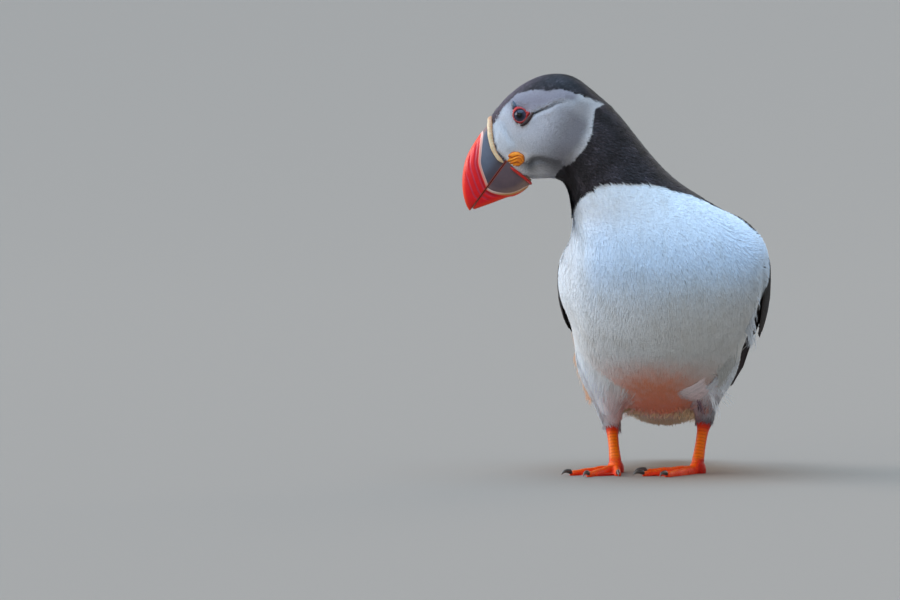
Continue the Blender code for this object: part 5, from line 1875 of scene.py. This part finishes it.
def make_ball(side):
    """The eye's ball, with a slight bulge before the pupil."""
    middle, outward = eye_axis(side)
    ball_middle = middle - outward * EYE_SINK
    form = bmesh.new()
    bmesh.ops.create_uvsphere(form, u_segments=72, v_segments=48, radius=EYE_RADIUS)
    turn = Vector((0, 0, 1)).rotation_difference(Vector(outward)).to_matrix().to_4x4()
    bmesh.ops.transform(form, matrix=Matrix.Translation(Vector(ball_middle)) @ turn, verts=form.verts)
    ball = plain_object(f"eye_{WORDS[side]}_ball", form)
    points = points_of(ball.data)
    away = points - ball_middle
    height = away @ outward
    spread = np.linalg.norm(away - height[:, None] * outward, axis=1)
    put_values(ball.data, "gaze", np.where(height > 0, spread, 9.0))
    move_points(ball.data, points + outward * (0.3 * ease(2.6, 0.6, spread) * (height > 0))[:, None])
    finished(ball, eye_paint, "eye", f"eye_{WORDS[side]}")


def make_lids(side):
    middle, outward = eye_axis(side)
    rim = plain_object(f"lid_{WORDS[side]}", sheet(lid_surface(side), 140, 24))
    points = points_of(rim.data)
    away_f, away_u = (side_view(points) - EYE_PLACE).T
    away = np.hypot(away_f, away_u)
    put_values(rim.data, "reach", np.linalg.norm(np.cross(points - middle, outward), axis=1))
    put_values(rim.data, "low", ease(-1.6, -3.6, away_u - 0.12 * away_f) * ease(3.2, 4.2, away))
    put_values(rim.data, "rear", ease(0.6, -2.2, away_f) * ease(-1.0, -2.4, away_u) * ease(4.2, 5.0, away))
    finished(rim, lid_paint, "red_lid", f"eye_ring_{WORDS[side]}")


def upper_plate(side):
    corners = np.array(UPPER_PLATE)
    centre = corners.mean(0)

    def reach(turn):
        """How far the plate's outline lies from its middle."""
        ray = np.stack([np.cos(turn), np.sin(turn)], -1)
        best = np.full(len(turn), 9.0)
        for a, b in zip(corners - centre, np.roll(corners, -1, 0) - centre):
            run = b - a
            cross = ray[:, 0] * run[1] - ray[:, 1] * run[0]
            cross = np.where(np.abs(cross) < 1e-9, 1e-9, cross)
            far = (a[0] * run[1] - a[1] * run[0]) / cross
            spot = (a[0] * ray[:, 1] - a[1] * ray[:, 0]) / cross
            best = np.where((far > 0) & (spot >= -1e-6) & (spot <= 1 + 1e-6), np.minimum(best, far), best)
        return best

    return cushion(side, (EYE_PLACE[0] + centre[0], EYE_PLACE[1] + centre[1]), reach, 0.9)


def lower_plate(side):
    last = len(LOWER_PLATE) - 1

    def surface(u, v):
        middle = spline(LOWER_PLATE, u * last)
        ahead = unit(spline(LOWER_PLATE, u * last + 0.1) - spline(LOWER_PLATE, u * last - 0.1))
        wide = 1.05 * np.sin(pi * np.clip(u * 0.9 + 0.06, 0, 1)) ** 0.6
        a = v * 2 * pi
        f = EYE_PLACE[0] + middle[:, 0] - ahead[:, 1] * wide * np.cos(a)
        h = EYE_PLACE[1] + middle[:, 1] + ahead[:, 0] * wide * np.cos(a)
        return on_cheek(side, f, h, 0.15 + 0.6 * np.sin(a))[0]

    return sheet(surface, 60, 24)


def make_eye_paint():
    """Black pupil, dark grey iris with a pale ring, darker again at its edge."""
    paint = Paint("eye", roughness=0.1, specular_ior_level=0.22, coat_weight=0.0, coat_roughness=0.08)
    gaze, fibres = paint.number("gaze"), paint.noise(paint.place(), 1400.0, 3.0)
    iris = paint.mix(gaze.step(2.5, 0.5), shade(46, 52, 70), shade(92, 84, 104))
    iris = paint.mix(fibres * 0.5, iris, shade(44, 44, 56))
    iris = paint.mix(gaze.step(2.95, 0.16), iris, shade(24, 18, 24))
    return paint.set(base_color=paint.mix(1 - gaze.step(1.6, 0.5), iris, (0.004, 0.004, 0.005)))


def make_lid_paint():
    """Red, pinkish at the ball and darker below and at the rear."""
    paint, base, _ = soft_paint("lid", shade(186, 4, 12), shade(146, 2, 8), 500.0, 0.5, 0.08, 0.0003)
    base = paint.mix(1 - paint.number("reach").step(3.30, 0.12), base, shade(214, 140, 138))
    base = paint.mix(paint.number("low") * 0.75, base, shade(96, 12, 18))
    return paint.set(base_color=paint.mix(paint.number("rear") * 0.6, base, shade(80, 20, 26)))


eye_paint, lid_paint = make_eye_paint(), make_lid_paint()
plate_paint = soft_paint("upper lid plate", shade(62, 74, 90), shade(44, 54, 68), 500.0, 0.45)[0]
bar_paint = soft_paint("lower lid plate", shade(62, 22, 28), shade(34, 22, 26), 500.0, 0.4)[0]
for side, word in WORDS.items():
    make_rosette(side)
    make_ball(side)
    make_lids(side)
    finished(plain_object(f"lid_plate_upper_{word}", upper_plate(side)), plate_paint, "dark_claw")
    finished(plain_object(f"lid_plate_lower_{word}", lower_plate(side)), bar_paint, "dark_claw")

# ---------------------------------------------------------------- legs and feet


def leg_paint():
    """Scaly orange skin: yellow-orange in front, deep red behind the ankle and on the webs."""
    paint, base, fine = soft_paint("leg skin", shade(255, 70, 0), shade(246, 46, 0), 200.0, 0.45, 0.06)
    cells = paint.node("TexVoronoi", {"feature": "DISTANCE_TO_EDGE"}, paint.place(), 720.0)
    rings = paint.number("scutes") * 3.6
    scutes = rings.maths("SINE", rings) * 0.5 + 0.5
    scaled = paint.number("scaled")
    plates = 1 - (1 - scutes.step(0.14, 0.12)) * scaled
    seams = (1 - cells.step(0.05, 0.05)) * (1 - scaled)
    base = paint.mix(paint.number("red"), base, shade(190, 18, 0))
    base = paint.mix(paint.number("gold") * (0.4 + fine * 0.8), base, shade(255, 128, 0))
    base = paint.mix(seams * 0.4, base, shade(150, 34, 10))
    base = paint.mix((1 - plates) * 0.32, base, shade(160, 44, 10))
    paint.set(base_color=base, specular_ior_level=0.22)
    return paint.bump(cells.step(0.1, 0.1) * (1 - scaled) * 0.5 + fine * 0.3 + plates, 0.0003, 0.7)


def make_claw_paint():
    """Dark horn, paler at the tip."""
    paint, base, _ = soft_paint("claw", shade(44, 40, 40), shade(70, 62, 56), 350.0, 0.3, 0.4, 0.0003, 0.4)
    return paint.set(base_color=paint.mix(paint.number("tip").step(0.75, 0.25) * 0.5, base, shade(120, 104, 88)))


leg_skin, claw_paint = leg_paint(), make_claw_paint()
UPRIGHT = np.array([0, 0, 1])


def toe_way(side, toe):
    """The toe's way over the floor and the way across it."""
    turn = radians(LEGS[side]["toe_out"] - TOES[toe][0])
    way = np.array([side * sin(turn), -cos(turn), 0])
    return way, np.array([-way[1], way[0], 0])


def heel_of(side):
    return np.array([*LEGS[side]["heel"][:2], 0.0])


def shank_form(side):
    """The bare shank from inside the thigh down into the foot."""
    start, end = np.array(LEGS[side]["ankle"], float), np.array(LEGS[side]["heel"], float)
    axis = unit(end - start)
    across = unit(np.cross(axis, [0, 1, 0]))
    front = np.cross(across, axis)
    front = front * -np.sign(front[1])

    def surface(u, v):
        row = spline(SHANK, u * (len(SHANK) - 1))
        a = v * 2 * pi
        middle = start + (end - start) * row[:, :1] - axis * 6.0 * (1 - u)[:, None] ** 3
        return middle + across * (np.cos(a) * row[:, 1])[:, None] + front * (np.sin(a) * row[:, 2])[:, None]

    return sheet(surface, 90, 60), start, axis, np.linalg.norm(end - start), front


def toe_form(side, toe):
    """A toe with its joints, its rings of scales and a round end."""
    way, across = toe_way(side, toe)
    heel, length = heel_of(side), TOES[toe][1]

    def surface(u, v):
        a = v * 2 * pi
        round_end = np.sqrt(np.clip(1 - ((u - 0.93) / 0.07) ** 2, 0.02, 1)) * (u > 0.93) + (u <= 0.93)
        joints = np.cos(u * 6 * pi)
        wide = TOE_WIDTH * (1 - 0.3 * u) * (1 + 0.09 * joints) * round_end
        high = (TOE_HEIGHT * (1 - 0.42 * u) - TOE_SUNK) * (1 + 0.05 * joints) * round_end
        rings = 1 - 0.045 * (np.sin(u * length * 2.6) < -0.55) * (np.sin(a) > 0.1)
        middle = heel + way * (length * u)[:, None] + UPRIGHT * TOE_SUNK
        return middle + across * (np.cos(a) * wide * rings)[:, None] + UPRIGHT * (np.sin(a) * high * rings)[:, None]

    return sheet(surface, 110, 36)


def web_form(side):
    """The web: a fan from the heel to its scalloped edge, both faces in one tube."""
    heel = heel_of(side)
    tips = np.array([heel + toe_way(side, toe)[0] * TOES[toe][1] * WEB_REACH for toe in ("outer", "middle", "inner")])
    back = heel - toe_way(side, "middle")[0] * 2.0

    def surface(u, v):
        spread = np.clip(np.where(v < 0.5, v * 2, 2 - v * 2), 0, 1) * 2
        first = np.minimum(spread.astype(int), 1)
        part = spread - first
        edge = tips[first] * (1 - part[:, None]) + tips[first + 1] * part[:, None]
        edge = edge + (heel - edge) * (WEB_SCALLOP * 4 * part * (1 - part))[:, None]
        middle = back + (edge - back) * u[:, None]
        ripple = 0.16 * np.sin(spread * 26) * ease(0.1, 0.5, u) * np.sin(part * pi)
        thick = WEB_THICK * (1 - 0.45 * u * np.sin(part * pi))
        return middle + UPRIGHT * np.where(v < 0.5, thick + ripple, -2.0)[:, None]

    return sheet(surface, 60, 200)


def heel_form(side):
    pad = bmesh.new()
    bmesh.ops.create_uvsphere(pad, u_segments=40, v_segments=28, radius=1)
    bmesh.ops.scale(pad, vec=HEEL_RADII, verts=pad.verts)
    heel = heel_of(side)
    bmesh.ops.translate(pad, vec=(heel[0] + 0.07, heel[1] + 0.07, 1.6), verts=pad.verts)
    return pad


def set_on_floor(foot):
    """Cuts the foot off flat at the floor."""
    form = bmesh.new()
    form.from_mesh(foot.data)
    everything = [*form.verts, *form.edges, *form.faces]
    floor = {"plane_co": (0, 0, 0), "plane_no": (0, 0, -1)}
    bmesh.ops.bisect_plane(form, geom=everything, dist=1e-5, clear_outer=True, **floor)
    under = bmesh.ops.holes_fill(form, edges=[e for e in form.edges if e.is_boundary])["faces"]
    bmesh.ops.triangulate(form, faces=under)
    turned_out(form).to_mesh(foot.data)
    form.free()


def make_foot(side):
    heel = heel_of(side)
    shank, start, axis, drop, front = shank_form(side)
    forms = [shank, *(toe_form(side, toe) for toe in TOES), web_form(side), heel_form(side)]
    foot = fused(f"leg_{WORDS[side]}", forms, FOOT_VOXEL)
    set_on_floor(foot)
    points = points_of(foot.data)
    from_toe, along = np.full(len(points), 9.0), np.zeros(len(points))
    for toe, (_, length) in TOES.items():
        way, _ = toe_way(side, toe)
        reach = np.clip((points - heel) @ way, 0, length)
        away = np.linalg.norm((points - heel - reach[:, None] * way)[:, :2], axis=1)
        along = np.where((away < from_toe) & (reach > 2), reach, along)
        from_toe = np.minimum(from_toe, away)
    share = (points - start) @ axis / drop
    ahead = (points - start - (share * drop)[:, None] * axis) @ front / 3.2
    shank = ease(6.5, 8.5, points[:, 2])
    red = shank * (ease(0.42, 0.12, share) * 0.9 + ease(0.1, -0.8, ahead) * 0.6)
    put_values(foot.data, "red", np.clip(red + (1 - shank) * ease(1.7, 3.0, from_toe) * 0.9, 0, 1))
    put_values(foot.data, "gold", shank * ease(0.0, 0.8, ahead) * ease(0.2, 0.45, share)
               + (1 - shank) * ease(1.8, 0.4, from_toe) * ease(0.5, 2.4, points[:, 2]) * 0.55)
    put_values(foot.data, "scutes", np.where(shank > 0.5, share * drop, along))
    put_values(foot.data, "scaled", shank * ease(0.35, 0.75, ahead) * ease(0.1, 0.3, share)
               + (1 - shank) * ease(1.7, 1.1, from_toe) * ease(2.0, 4.0, along))
    finished(foot, leg_skin, "orange_skin", f"foot_{WORDS[side]}", f"tarsus_{WORDS[side]}")
    foot.data.set_sharp_from_angle(angle=radians(50))


def make_claw(side, toe):
    way, across = toe_way(side, toe)
    start = heel_of(side) + way * (TOES[toe][1] - CLAW_ROOT)

    def surface(u, v):
        radius = CLAW_RADIUS * (1 - 0.93 * u**1.3) * np.minimum(1, 0.75 + 4 * u)
        reach = (CLAW_LENGTH + CLAW_ROOT) * np.sin(u * 1.25) / sin(1.25)
        rise = CLAW_RADIUS + 0.3 + 0.75 * np.sin(pi * u) - (CLAW_RADIUS - 0.35) * u**2
        a = v * 2 * pi
        tall = unit(UPRIGHT + way * 0.9 * u[:, None])
        keel = 1 - 0.18 * (np.sin(a) < -0.3)
        return (start + way * reach[:, None] + UPRIGHT * rise[:, None]
                + across * (np.cos(a) * radius * 0.8)[:, None] + tall * (np.sin(a) * radius * keel)[:, None])

    nail = plain_object(f"nail_{WORDS[side]}_{toe}", sheet(surface, 40, 28))
    reach = (points_of(nail.data) - start) @ way / CLAW_LENGTH
    put_values(nail.data, "tip", np.clip(reach, 0, 1))
    finished(nail, claw_paint, "dark_claw", f"claw_{WORDS[side]}_{toe}")


for side in (1, -1):
    make_foot(side)
    for toe in TOES:
        make_claw(side, toe)


# ---------------------------------------------------------------- stage and light


FLOOR_FLAT, FLOOR_SLOPE, FLOOR_TOP = 2.0, 7.0, 1.3  # metres: level part, length and height of the rise
# The light from each side: away to it, strength, how wide a patch of sky in degrees, colour.
SUNS = {
    "sky": ((-0.1, -0.15, 1.0), 4.1, 65, (0.36, 0.67, 1.0)),
    "side": ((-1.0, 0.12, 0.25), 3.1, 45, (0.98, 0.98, 1.0)),
    "front": ((-0.5, -1.0, 0.22), 0.35, 40, (1.0, 0.98, 0.94)),
    "rear": ((0.5, 0.9, 0.4), 0.5, 40, (1.0, 0.88, 0.74)),
}
ROOM_COLOUR, ROOM_STRENGTH = (0.96, 0.98, 1.0, 1), 0.55


def make_stage():
    """A pale round floor that rises very gently far away, so it is its own backdrop on every side."""
    form = bmesh.new()
    run = [form.verts.new((x, 0, 0)) for x in (0.0, 0.5, 1.2, FLOOR_FLAT)]
    run += [form.verts.new((FLOOR_FLAT + FLOOR_SLOPE * u, 0, FLOOR_TOP * u * u)) for u in np.linspace(0.05, 1, 24)]
    profile = [form.edges.new(pair) for pair in zip(run, run[1:])]
    upright = {"axis": (0, 0, 1), "cent": (0, 0, 0)}
    bmesh.ops.spin(form, geom=run + profile, steps=96, angle=2 * pi, use_merge=True, **upright)
    bmesh.ops.remove_doubles(form, verts=form.verts, dist=1e-5)
    bmesh.ops.recalc_face_normals(form, faces=form.faces)
    if min(form.faces, key=lambda f: f.calc_center_median().length).normal.z < 0:
        bmesh.ops.reverse_faces(form, faces=form.faces)
    floor = plain_object("floor", form)
    floor.data.shade_smooth()
    floor.data.materials.append(Paint("floor", roughness=0.9, base_color=shade(140, 124, 111)).material)


def make_light():
    """Even light from wide patches of sky, in a pale room."""
    for name, (away, strength, spread, colour) in SUNS.items():
        lamp = bpy.data.lights.new(name, "SUN")
        lamp.energy, lamp.angle, lamp.color = strength, radians(spread), colour
        obj = bpy.data.objects.new(name, lamp)
        obj.rotation_mode = "QUATERNION"
        obj.rotation_quaternion = (-Vector(away)).to_track_quat("-Z", "Y")
        bpy.context.scene.collection.objects.link(obj)
    world = bpy.data.worlds.new("room")
    world.use_nodes = True
    backdrop = world.node_tree.nodes["Background"].inputs
    backdrop["Color"].default_value, backdrop["Strength"].default_value = ROOM_COLOUR, ROOM_STRENGTH
    bpy.context.scene.world = world
    bpy.context.scene.view_settings.view_transform = "Standard"


make_stage()
make_light()
